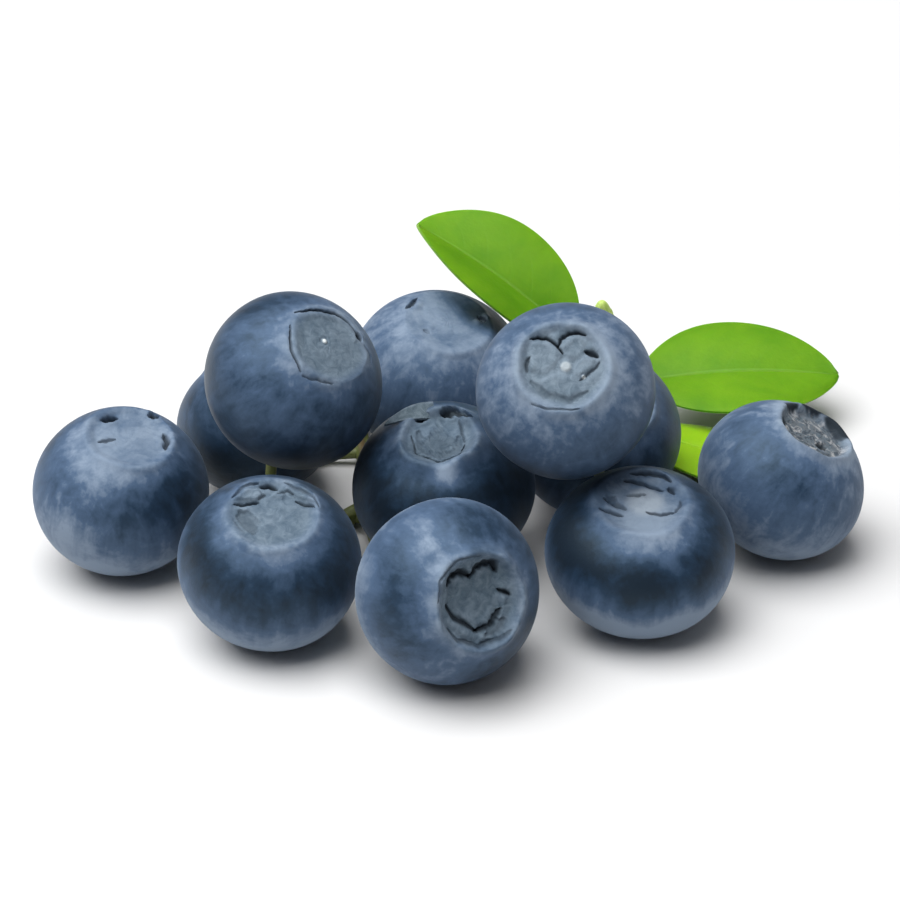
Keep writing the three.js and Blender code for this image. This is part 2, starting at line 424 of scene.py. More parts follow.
@dataclass(frozen=True)
class LeafGreen:
    """Fresh leaf green with a pale midrib and faint side veins, paler beneath, with a painted glow of light
    on some leaves.

    Attributes:
        deep: The darker green of the upper side.
        fresh: The lighter green of the upper side.
        vein: The veins.
        beneath: The under side.
        painted_glow: A brighter yellow-green, painted as light shining through a leaf.
        side_veins: How many side veins each half has.
        relief: The veins' relief, in millimetres.
    """

    deep: Colour = (0.078, 0.212, 0.006, 1.0)
    fresh: Colour = (0.122, 0.268, 0.008, 1.0)
    vein: Colour = (0.165, 0.330, 0.055, 1.0)
    beneath: Colour = (0.190, 0.300, 0.090, 1.0)
    painted_glow: Colour = (0.260, 0.480, 0.012, 1.0)
    side_veins: float = 7.0
    relief: float = 0.08

    def material(self) -> bpy.types.Material:
        """Build the material.

        Returns:
            A material that reads leaf_place, under and young from the vertices.
        """
        shade = Shade.surface("leaf_green")
        place = shade.stored("leaf_place", "Vector")
        share = shade.node("ShaderNodeSeparateXYZ", None, {0: place}, "X")
        across = abs(shade.node("ShaderNodeSeparateXYZ", None, {0: place}, "Y"))
        under = shade.stored("under")
        solid = shade.node("ShaderNodeTexCoord", output="Object")
        cloud = shade.noise(solid, 190.0, 3.0, 0.55, 0.3)
        cells = shade.noise(solid, 2600.0, 2.0, 0.6)
        slant = (share * self.side_veins - across ** 1.25 * 1.9 + (cloud - 0.5) * 0.25).wave()
        side_vein = slant.between(0.085, 0.0) * across.between(1.0, 0.25)
        midrib = across.between(0.05, 0.012)
        vein = side_vein * 0.08 + midrib * 0.6
        green = shade.mix(cloud.between(0.25, 0.75) + (cells - 0.5) * 0.3, self.deep, self.fresh)
        green = shade.mix(vein * 0.55, green, self.vein)
        # Painted light: a brighter yellow-green stands for light shining through the blade.
        green = shade.mix(shade.stored("painted_glow"), green, self.painted_glow)
        green = shade.mix(under * 0.85, green, self.beneath)
        rough = 0.42 + under * 0.2 + (cells - 0.5) * 0.12
        relief = cells * 0.35 - vein * 0.8
        sockets = {
            "Base Color": green,
            "Roughness": rough,
            "Specular IOR Level": 0.10,
            "Subsurface Weight": 0.5,
            "Subsurface Radius": (0.5, 1.0, 0.15),
            "Subsurface Scale": 0.8 * MM,
        }
        return shade.finish(sockets, relief, self.relief * MM)


@dataclass(frozen=True)
class StalkGreen:
    """Smooth stalk that runs from yellow-green to a flushed red-brown.

    Attributes:
        green: Its main colour.
        pale: Its pale fibres and specks.
        flush: Its flushed patches.
        flush_from: The noise that the flush starts at; less gives more of it.
        ridge: The fibres' relief, in millimetres.
    """

    green: Colour = (0.110, 0.140, 0.030, 1.0)
    pale: Colour = (0.190, 0.215, 0.065, 1.0)
    flush: Colour = (0.130, 0.055, 0.030, 1.0)
    flush_from: float = 0.55
    ridge: float = 0.10

    def material(self, name: str) -> bpy.types.Material:
        """Build the material.

        Args:
            name: The material's name.

        Returns:
            A material that reads grain from the vertices.
        """
        shade = Shade.surface(name)
        grain = shade.stored("grain", "Vector")
        fibre = shade.noise(grain, 1.5, 4.0, 0.6, 0.2)
        patch = shade.noise(grain, 0.35, 2.0, 0.5)
        speck = shade.noise(grain, 7.0, 2.0, 0.6)
        colour = shade.mix(fibre.between(0.3, 0.7), self.green, self.pale)
        colour = shade.mix(patch.between(self.flush_from, self.flush_from + 0.2) * 0.7, colour, self.flush)
        colour = shade.mix(speck.between(0.68, 0.78) * 0.6, colour, self.pale)
        rough = 0.5 + (fibre - 0.5) * 0.2
        return shade.finish({"Base Color": colour, "Roughness": rough}, fibre + speck * 0.4, self.ridge * MM)


TWIG_BARK = StalkGreen(
    green=(0.16, 0.19, 0.05, 1.0),
    pale=(0.30, 0.27, 0.12, 1.0),
    flush=(0.17, 0.085, 0.04, 1.0),
    flush_from=0.42,
    ridge=0.2,
)
BUD_SCALE = StalkGreen(
    green=(0.38, 0.56, 0.08, 1.0),
    pale=(0.62, 0.76, 0.24, 1.0),
    flush=(0.20, 0.38, 0.03, 1.0),
    flush_from=0.6,
    ridge=0.08,
)


@dataclass(frozen=True)
class CutWood:
    """Fresh cut wood: a pale face mottled with softer green pith."""

    wood: Colour = (0.520, 0.500, 0.290, 1.0)
    pith: Colour = (0.300, 0.360, 0.140, 1.0)

    def material(self) -> bpy.types.Material:
        """Build the material.

        Returns:
            A material on Object coordinates.
        """
        shade = Shade.surface("cut_wood")
        solid = shade.node("ShaderNodeTexCoord", output="Object")
        ring = shade.noise(solid, 1500.0, 3.0, 0.6)
        colour = shade.mix(ring.between(0.35, 0.7), self.wood, self.pith)
        return shade.finish({"Base Color": colour, "Roughness": 0.8}, ring, 0.05 * MM)


# Berries


@dataclass(frozen=True)
class Crack:
    """A slit or hole in a crown, painted dark as the shade inside it, drawn in the crown's plane with the rim
    at radius 1.

    Attributes:
        route: Its points, to the right and to the back.
        width: Half its width.
        dark: How dark its painted shade is, from 0 to 1.
        deep: How deep it is cut, from 0 for painted shade with no cut to 1.
    """

    route: tuple[tuple[float, float], ...]
    width: float = 0.04
    dark: float = 1.0
    deep: float = 1.0

    def measure(self, place: np.ndarray) -> tuple[np.ndarray, np.ndarray]:
        """Measure how far points of the crown's plane are from the slit, and where along it.

        Args:
            place: Rows of two numbers.

        Returns:
            The distances, and the shares of the slit's length.
        """
        route = np.array(self.route)
        lengths = np.linalg.norm(np.diff(route, axis=0), axis=1)
        nearest, along = np.full(len(place), np.inf), np.zeros(len(place))
        passed = 0.0
        for start, end, length in zip(route, route[1:], lengths):
            share = np.clip((place - start) @ (end - start) / length**2, 0.0, 1.0)
            off = np.linalg.norm(place - start - np.outer(share, end - start), axis=1)
            along = np.where(off < nearest, (passed + share * length) / lengths.sum(), along)
            nearest = np.minimum(nearest, off)
            passed += length
        return nearest, along

    def masks(self, place: np.ndarray) -> tuple[np.ndarray, np.ndarray]:
        """Give the slit itself and the swollen edges beside it.

        Args:
            place: Rows of two numbers.

        Returns:
            Two rows of shares from 0 to 1.
        """
        off, along = self.measure(place)
        width = self.width * (0.35 + 0.65 * np.sin(np.pi * np.clip(along, 0.0, 1.0)) ** 0.6)
        width = width * (1.0 + 0.18 * np.sin(37.0 * place[:, 0] + 29.0 * place[:, 1]))
        # The slit mask paints the shade inside the slit; the lip mask raises its edges, which are painted
        # pale as highlights.
        slit = smooth(1.6, 0.35, off / width) * self.dark
        return slit, bell(off, self.width + 0.09, 0.075) * self.dark * np.sin(np.pi * along) ** 0.5


@dataclass(frozen=True)
class Patch:
    """A raised or sunken field in a crown, such as a folded lobe, drawn as a closed outline.

    Attributes:
        outline: Its corners, to the right and to the back.
        height: How far it stands up, as a share of the berry's radius; it may be below 0.
        edge: How wide its rounded edge is.
    """

    outline: tuple[tuple[float, float], ...]
    height: float
    edge: float = 0.05

    def cover(self, place: np.ndarray) -> np.ndarray:
        """Give 1 well inside the outline and 0 outside it.

        Args:
            place: Rows of two numbers.

        Returns:
            One share for each row.
        """
        closed = (*self.outline, self.outline[0])
        off = Crack(closed).measure(place)[0]
        inside = np.zeros(len(place), bool)
        for (ax, ay), (bx, by) in zip(closed, closed[1:]):
            spans = (ay > place[:, 1]) != (by > place[:, 1])
            cross = (bx - ax) * (place[:, 1] - ay) / (by - ay if by != ay else 1e-9) + ax
            inside ^= spans & (place[:, 0] < cross)
        return smooth(-self.edge, self.edge, np.where(inside, off, -off))


@dataclass(frozen=True)
class CrownShape:
    """Sizes of a crown as shares of the berry's radius, apart from the last two.

    Attributes:
        rise: How far the rim stands up.
        depth: How deep the floor is.
        dome: How far the floor's middle rises.
        crest: How wide the rim is, as a share of the crown.
        dry: How far the floor has dried, from 0 to 1.
    """

    rise: float
    depth: float
    dome: float
    crest: float
    dry: float


class Crown(Enum):
    """How the dried calyx on a berry ended up."""

    DISC = CrownShape(rise=0.006, depth=0.0, dome=0.010, crest=0.20, dry=0.70)
    FLAT = CrownShape(rise=0.014, depth=0.020, dome=0.014, crest=0.17, dry=0.62)
    RINGED = CrownShape(rise=0.028, depth=0.036, dome=0.012, crest=0.15, dry=0.70)
    DEEP = CrownShape(rise=0.064, depth=0.050, dome=0.0, crest=0.14, dry=0.70)
    OPEN = CrownShape(rise=0.024, depth=0.075, dome=0.010, crest=0.12, dry=0.90)
    NECKED = CrownShape(rise=0.055, depth=0.030, dome=0.010, crest=0.26, dry=0.75)


def five_lobes(turn: float, reach: float) -> tuple[Crack, ...]:
    """Draw the slits round five lobes that are folded inwards.

    Args:
        turn: Angle of the first lobe, in degrees.
        reach: How far in the lobes' tips are, as a share of the rim.

    Returns:
        One slit for each lobe.
    """
    slits = []
    for lobe in range(5):
        lean = 7.0 * math.sin(2.3 * lobe + turn)
        tip = reach + 0.09 * math.sin(3.7 * lobe + turn)
        angles = np.radians(turn + 72.0 * lobe + lean + np.array((-31.0, -15.0, 2.0, 17.0, 32.0)))
        radii = np.array((0.92, tip + 0.16, tip, tip + 0.13, 0.90))
        route = tuple(zip(radii * np.cos(angles), radii * np.sin(angles)))
        slits.append(Crack(route, 0.022 + 0.012 * (lobe % 2), 0.6))
    return tuple(slits)


@dataclass
class Berry:
    """One berry with its crown, built where its node is.

    Attributes:
        name: The berry's number in its nodes' names.
        crown: Where the crown looks.
        style: How the calyx ended up.
        rim: The crown's radius as a share of the berry's.
        shift: How far the crown sits off the axis, in the crown's plane.
        cracks: The dark slits in the crown.
        patches: The raised and sunken fields in the crown.
        scars: Pale dots in the crown: place, radius and paleness.
        wax: How much bloom is left, from 0 to 1.
        lobe: Root and tip of a lobe that stands out from the rim, or none.
        brown: How brown the crown's floor has dried.
        dust: How far the bloom covers the crown, from 0 to 1.
        bloom_and_light_halo: How much paler it is round the crown: thicker bloom there, with painted top
            light.
        painted_belt_shade: How much painted shade darkens the belt below the crown.
        painted_lower_light: How much painted floor reflection brightens the lower half; below 0 it paints
            shade there.
        light_shade_and_bloom_spots: Spots of painted light and shade, some of them thicker or thinner bloom:
            angle round the crown, angle from it, width, amount.
    """

    name: str
    crown: Point
    style: Crown
    rim: float = 0.48
    shift: tuple[float, float] = (0.0, 0.0)
    cracks: tuple[Crack, ...] = ()
    patches: tuple[Patch, ...] = ()
    scars: tuple[tuple[float, float, float, float], ...] = ()
    wax: float = 0.6
    lobe: tuple[tuple[float, float], tuple[float, float]] | None = None
    brown: float = 0.0
    dust: float = 0.0
    bloom_and_light_halo: float = 0.25
    painted_belt_shade: float = 0.20
    painted_lower_light: float = 0.20
    light_shade_and_bloom_spots: tuple[tuple[float, float, float, float], ...] = ()

    SEGMENTS = 192
    RINGS = 128
    RIM_TOP = 1.04
    CAP = math.radians(42)
    CAP_SHARE = 0.56
    FAR = 9.0
    DIMPLE = 0.06
    DIMPLE_LIP = 0.014
    LOWER_LIGHT_GAIN = 1.2
    CALM_FOOT = 0.55
    SWAY = 0.013
    SLIT_DEPTH = 0.085
    FULL_SLIT = 0.06
    LIP_HEIGHT = 0.016
    SCAR_HEIGHT = 0.012
    SCAR_MOAT = 0.010

    def __post_init__(self) -> None:
        """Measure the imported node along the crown's direction."""
        up = Vector(self.crown).normalized()
        right = (Vector((1.0, 0.0, 0.0)) - up * up.x).normalized()
        self.basis = np.array((right, up.cross(right), up))
        own = points_of(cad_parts["berry_" + self.name]) @ self.basis.T
        low, high = own.min(0), own.max(0)
        self.half_height = (high[2] - low[2]) / (1.0 + self.RIM_TOP)
        self.radius = ((high - low)[:2] / 2.0).max()
        across = (low + high) / 2.0
        middle = np.array((across[0], across[1], low[2] + self.half_height))
        self.centre = middle @ self.basis
        self.seeded = np.random.default_rng(100 + int(self.name))

    def surface_towards(self, point: np.ndarray) -> np.ndarray:
        """Find where the line from the middle to a point leaves the berry.

        Args:
            point: A point outside the berry, in metres.

        Returns:
            The point on the skin, in metres.
        """
        way = point - self.centre
        way = way / np.linalg.norm(way)
        share = (way @ self.basis[2]) ** 2
        reach = 1.0 / math.sqrt(share / self.half_height**2 + (1.0 - share) / self.radius**2)
        return self.centre + way * reach

    @classmethod
    def blank(cls) -> bpy.types.Object:
        """Model the ball that every berry is pushed into shape from.

        Returns:
            The ball, of radius 1.
        """
        bpy.ops.object.select_all(action="DESELECT")
        bpy.ops.mesh.primitive_uv_sphere_add(segments=cls.SEGMENTS, ring_count=cls.RINGS, radius=1.0)
        return bpy.context.object

    def build(
        self, blank: bpy.types.Object, stalk_end: np.ndarray, skin: bpy.types.Material
    ) -> bpy.types.Object:
        """Model and dress the berry.

        Args:
            blank: The ball that is copied.
            stalk_end: Where its stalk meets it, in metres.
            skin: The berries' material.

        Returns:
            The finished berry.
        """
        select_only(blank)
        bpy.ops.object.duplicate()
        obj = bpy.context.object
        self._sculpt(obj, stalk_end)
        obj = join([obj, self._lobe()], obj.name) if self.lobe else obj
        obj.data.materials.clear()
        obj.data.materials.append(skin)
        return settle(obj, "berry_" + self.name)

    def _sculpt(self, obj: bpy.types.Object, stalk_end: np.ndarray) -> None:
        """Push the sphere into a berry with a crown and a stalk dimple.

        Args:
            obj: The ball, with its pole at the crown.
            stalk_end: Where the stalk meets it, in metres.
        """
        own = points_of(obj)
        turn = np.arctan2(own[:, 1], own[:, 0])
        share = np.arccos(np.clip(own[:, 2], -1.0, 1.0)) / np.pi
        outer = self.CAP + (np.pi - self.CAP) * (share - self.CAP_SHARE) / (1.0 - self.CAP_SHARE)
        polar = np.where(share < self.CAP_SHARE, self.CAP * share / self.CAP_SHARE, outer)
        out = self.radius * np.sin(polar) * self._lumps(polar, turn)
        up = self.half_height * np.cos(polar)
        up, masks = self._crown(out, up, turn)
        masks["brown"] = np.full(len(turn), self.brown)
        place = np.column_stack((out * np.cos(turn), out * np.sin(turn), up))
        stalk = (stalk_end - self.centre) @ self.basis.T
        stalk /= np.linalg.norm(stalk)
        off = np.arccos(np.clip(place @ stalk / np.linalg.norm(place, axis=1), -1.0, 1.0))
        dimple = self.DIMPLE * bell(off, 0.0, 0.16) - self.DIMPLE_LIP * bell(off, 0.34, 0.12)
        place *= 1.0 - dimple[:, None]
        set_points(obj, place @ self.basis + self.centre)
        shift = self.seeded.uniform(-20.0, 20.0, 3)
        set_attribute(obj, "own_place", place / self.radius + shift)
        rubbed = 0.10 * np.sin(2.0 * turn + self.seeded.uniform(0.0, 6.0)) * np.sin(polar)
        # Painted light and shade join the bloom here: paler round the crown, partly painted top light; a
        # painted shade belt below it; painted floor reflection on the lower half, painted shade there where
        # the amount is below 0.
        bloom = self.bloom_and_light_halo * smooth(0.85, 0.5, polar) - self.painted_belt_shade * bell(polar, 1.0, 0.28)
        bloom = self.wax + rubbed + bloom + self.LOWER_LIGHT_GAIN * self.painted_lower_light * smooth(1.0, 2.1, polar)
        # Spots of painted light and shade, such as painted highlights and shaded sides, with some thicker and
        # thinner bloom.
        for *angles, amount in self.light_shade_and_bloom_spots:
            round_crown, from_crown, width = np.radians(angles)
            lean = np.cos(polar) * np.cos(from_crown)
            lean = lean + np.sin(polar) * np.sin(from_crown) * np.cos(turn - round_crown)
            bloom = bloom + amount * bell(np.arccos(np.clip(lean, -1.0, 1.0)), 0.0, width)
        set_attribute(obj, "wax", bloom)
        calm = 1.0 - self.CALM_FOOT * smooth(1.1, 1.7, polar)
        set_attribute(obj, "side", smooth(0.2, 0.75, polar) * calm)
        for name, mask in masks.items():
            set_attribute(obj, name, np.clip(mask, 0.0, 1.0))

    def _lumps(self, polar: np.ndarray, turn: np.ndarray) -> np.ndarray:
        """Give the berry its slight unevenness round the waist.

        Args:
            polar: Angle from the crown.
            turn: Angle round the crown.

        Returns:
            Factors near 1.
        """
        phase = self.seeded.uniform(0.0, 2.0 * np.pi, 4)
        waves = 0.006 * np.cos(2.0 * turn + phase[0]) + 0.005 * np.cos(3.0 * turn + phase[1])
        waves += 0.003 * np.cos(5.0 * turn + phase[2]) * np.cos(2.0 * polar + phase[3])
        return 1.0 + waves * np.sin(polar) ** 2

    def _crown(
        self, out: np.ndarray, up: np.ndarray, turn: np.ndarray
    ) -> tuple[np.ndarray, dict[str, np.ndarray]]:
        """Form the rim, the floor and the slits of the crown.

        Args:
            out: Distance from the axis, in metres.
            up: Height along the axis, in metres.
            turn: Angle round the crown.

        Returns:
            The new heights, and the masks that the skin reads.
        """
        shape = self.style.value
        phase = self.seeded.uniform(0.0, 2.0 * np.pi, 6)
        plane = np.column_stack((out * np.cos(turn), out * np.sin(turn))) / (self.rim * self.radius)
        plane[up < 0.0] = self.FAR
        own = plane - np.array(self.shift)
        angle = np.arctan2(own[:, 1], own[:, 0])
        wobble = 1.0 + 0.03 * np.cos(2.0 * angle + phase[0]) + 0.02 * np.cos(5.0 * angle + phase[1])
        share = np.linalg.norm(own, axis=1) / wobble
        level = self._level(own)
        uneven = 1.0 + 0.35 * np.cos(3.0 * angle + phase[2]) + 0.25 * np.cos(7.0 * angle + phase[3])
        field = shape.rise * uneven * bell(share, 1.0, shape.crest)
        field = field - shape.depth * smooth(0.98, 0.78, share) + shape.dome * smooth(0.75, 0.0, share)
        ripple = np.sin(19.0 * share + 3.0 * np.sin(3.0 * angle + phase[4])) * np.cos(4.0 * angle + phase[5])
        field = field + 0.002 * ripple * smooth(0.95, 0.6, share)
        # Painted shade in the slits and sunken patches.
        slit_shade = np.zeros_like(share)
        # Pale marks: wear on the rim ring, and painted highlights on the raised edges of patches and on the
        # slits' lips below.
        pale = bell(share, 0.98, 0.13) * (0.6 + 0.4 * np.cos(2.0 * angle + phase[3]))
        pale = pale * (1.0 - 0.8 * self.dust)
        crossed = plane[:, ::-1]
        sway = np.sin(9.0 * crossed + phase[:2]) + 0.3 * np.sin(23.0 * crossed + phase[2:4])
        warped = plane + self.SWAY * sway
        for patch in self.patches:
            cover = patch.cover(warped)
            field = field + patch.height * cover
            slit_shade = np.maximum(slit_shade, 0.06 * cover * (patch.height < 0.0))
            pale = np.maximum(pale, 0.5 * bell(cover, 0.6, 0.3) * (patch.height > 0.0))
        for crack in self.cracks:
            slit, lip = crack.masks(warped)
            cut = self.SLIT_DEPTH * (1.0 - math.exp(-crack.width / self.FULL_SLIT))
            field = field + crack.deep * (self.LIP_HEIGHT * lip - cut * slit)
            slit_shade = np.maximum(slit_shade, slit)
            pale = np.maximum(pale, 0.45 * lip)
        scar = np.zeros_like(share)
        for across, back, radius, paleness in self.scars:
            off = np.linalg.norm(plane - np.array((across, back)), axis=1)
            field = field + self.SCAR_HEIGHT * smooth(radius, 0.5 * radius, off)
            field = field - self.SCAR_MOAT * bell(off, 1.5 * radius, 0.4 * radius)
            scar = np.maximum(scar, smooth(1.1 * radius, 0.6 * radius, off) * paleness)
        base = np.where(share < 1.0, np.minimum(level, up), up)
        base = base + (level - base) * smooth(1.15, 0.9, share)
        masks = {
            "crown": smooth(1.14, 0.72, share) * shape.dry * (1.0 - self.dust),
            "rim": pale,
            "slit_shade": slit_shade,
            "scar": scar,
        }
        return base + self.radius * field, masks

    def _level(self, own: np.ndarray) -> np.ndarray:
        """Give the height of the flat disc that the rim stands on.

        Args:
            own: Places in the crown's plane, from the crown's middle.

        Returns:
            Heights along the axis, in metres.
        """
        off = np.array(self.shift)
        tilt = float(np.linalg.norm(off))
        sides = (self.rim * (tilt + side) for side in (1.0, -1.0))
        far, near = (self.half_height * math.sqrt(1.0 - side**2) for side in sides)
        way = off / tilt if tilt > 0.0 else np.zeros(2)
        return (far + near) / 2.0 + (far - near) / 2.0 * (own @ way)

    def _lobe(self) -> bpy.types.Object:
        """Model one calyx lobe that stands out from the rim.

        Returns:
            The lobe, in place, with the skin's attributes.
        """
        root, tip = (np.array(spot) * self.rim * self.radius for spot in self.lobe)
        length = float(np.linalg.norm(tip - root))
        way = (tip - root) / length
        across = np.array((way[1], -way[0]))
        bpy.ops.object.select_all(action="DESELECT")
        bpy.ops.mesh.primitive_grid_add(x_subdivisions=28, y_subdivisions=16, size=2.0)
        obj = bpy.context.object
        thick = obj.modifiers.new("thickness", "SOLIDIFY")
        thick.thickness = 0.10
        bpy.ops.object.modifier_apply(modifier=thick.name)
        flat = points_of(obj)
        along = (flat[:, 0] + 1.0) / 2.0
        width = 0.15 * length * np.clip(1.0 - along**1.6, 0.02, 1.0) ** 0.8
        side = flat[:, 1] * width
        level = self.half_height * math.sqrt(1.0 - self.rim**2)
        curl = 0.10 * np.sin(np.pi * along) - 0.10 * along**2 + 0.55 * side / length
        spot = root + np.outer(along * length, way) + np.outer(side, across)
        up = level + length * (0.05 + curl) + 0.55 * length * flat[:, 2]
        place = np.column_stack((spot, up))
        set_points(obj, place @ self.basis + self.centre)
        count = len(place)
        set_attribute(obj, "own_place", place / self.radius + self.seeded.uniform(-20.0, 20.0, 3))
        set_attribute(obj, "wax", np.full(count, self.wax))
        set_attribute(obj, "side", np.ones(count))
        set_attribute(obj, "crown", np.full(count, 0.85))
        # Pale edges of the lobe, in the rim's colour of wear and painted highlight.
        set_attribute(obj, "rim", 0.9 * smooth(0.6, 1.0, np.maximum(along, np.abs(flat[:, 1]))))
        for name in ("slit_shade", "scar", "brown"):
            set_attribute(obj, name, np.zeros(count))
        close_seams(obj, SEAM)
        return obj


# Stems


def smooth_route(points: np.ndarray, step: float) -> np.ndarray:
    """Run a centripetal Catmull-Rom curve through given points.

    Args:
        points: The points, in metres.
        step: The greatest distance between two points of the result, in metres.

    Returns:
        The curve's points.
    """
    ends = np.vstack((2.0 * points[0] - points[1], points, 2.0 * points[-1] - points[-2]))
    made = []
    for a, b, c, d in zip(ends, ends[1:], ends[2:], ends[3:]):
        ab, bc, cd = (max(np.linalg.norm(q - p), 1e-9) ** 0.5 for p, q in ((a, b), (b, c), (c, d)))
        leave = ((b - a) / ab - (c - a) / (ab + bc) + (c - b) / bc) * bc
        arrive = ((c - b) / bc - (d - b) / (bc + cd) + (d - c) / cd) * bc
        count = max(2, math.ceil(np.linalg.norm(c - b) / step))
        share = np.arange(count)[:, None] / count
        cubic = (2.0 * (b - c) + leave + arrive) * share**3
        square = (3.0 * (c - b) - 2.0 * leave - arrive) * share**2
        made.append(cubic + square + leave * share + b)
    return np.vstack((*made, points[-1:]))


@dataclass
class Stem:
    """A round stem along a route, with swellings.

    Attributes:
        name: The node that it stands for.
        route: Given points, in layout millimetres.
        radius: Radius at its start.
        tip: Radius at its end.
        knots: Shares of its length where it swells.
        flare: How much wider its last stretch becomes, as a share.
    """

    name: str
    route: list[Point]
    radius: float
    tip: float
    knots: tuple[float, ...] = ()
    flare: float = 0.0

    SIDES = 5
    STEP = 0.35
    LOWEST = 0.01
    KNOT_SWELL = 0.28
    KNOT_LENGTH = 1.6
    FLARE_LENGTH = 1.3

    def tube(self, route: np.ndarray) -> bpy.types.Object:
        """Sweep the stem's round section along a route.

        Args:
            route: The route's points, in metres.

        Returns:
            A closed tube that stores its grain.
        """
        line = smooth_route(route, self.STEP * MM)
        length = np.concatenate(((0.0,), np.cumsum(np.linalg.norm(np.diff(line, axis=0), axis=1))))
        share = length / length[-1]
        radius = self.radius + (self.tip - self.radius) * share
        for knot in self.knots:
            swell = bell(share, knot, self.KNOT_LENGTH * MM / length[-1])
            radius = radius * (1.0 + self.KNOT_SWELL * swell)
        flared = smooth(length[-1] - self.FLARE_LENGTH * MM, length[-1], length)
        radius = radius * (1.0 + self.flare * flared)
        radius = radius * (1.0 + 0.03 * np.sin(length / MM * 1.3 + len(line)))
        curve = bpy.data.curves.new(self.name, "CURVE")
        curve.dimensions = "3D"
        curve.bevel_depth = MM
        curve.bevel_resolution = self.SIDES
        curve.use_fill_caps = True
        spline = curve.splines.new("POLY")
        spline.points.add(len(line) - 1)
        spline.points.foreach_set("co", np.column_stack((line, np.ones(len(line)))).ravel())
        spline.points.foreach_set("radius", radius)
        obj = bpy.data.objects.new(self.name, curve)
        bpy.context.scene.collection.objects.link(obj)
        select_only(obj)
        bpy.ops.object.convert(target="MESH")
        obj = bpy.context.object
        close_seams(obj, SEAM)
        points = points_of(obj)
        points[:, 2] = np.maximum(points[:, 2], self.LOWEST * MM)
        set_points(obj, points)
        nearest = np.array([np.argmin(((line - point) ** 2).sum(1)) for point in points])
        offset = (points - line[nearest]) / MM
        along = np.gradient(line, axis=0)[nearest]
        along /= np.linalg.norm(along, axis=1, keepdims=True)
        offset -= (offset * along).sum(1, keepdims=True) * along
        grain = np.column_stack((offset[:, 0] + offset[:, 1], offset[:, 2], length[nearest] / MM * 0.22))
        set_attribute(obj, "grain", grain * 1.6 + len(line))
        return obj

    def build(
        self, finish: bpy.types.Material, begin: np.ndarray | None = None, end: np.ndarray | None = None
    ) -> bpy.types.Object:
        """Model and dress the stem.

        Args:
            finish: The stem's material.
            begin: An extra first point inside what it grows from, in metres, or none.
            end: An extra last point inside what it grows into, in metres, or none.

        Returns:
            The finished stem.
        """
        route = to_frame(self.route)
        if begin is not None:
            route = np.vstack((begin, route))
        if end is not None:
            route = np.vstack((route, end))
        obj = self.tube(route)
        obj.data.materials.append(finish)
        return settle(obj, self.name)


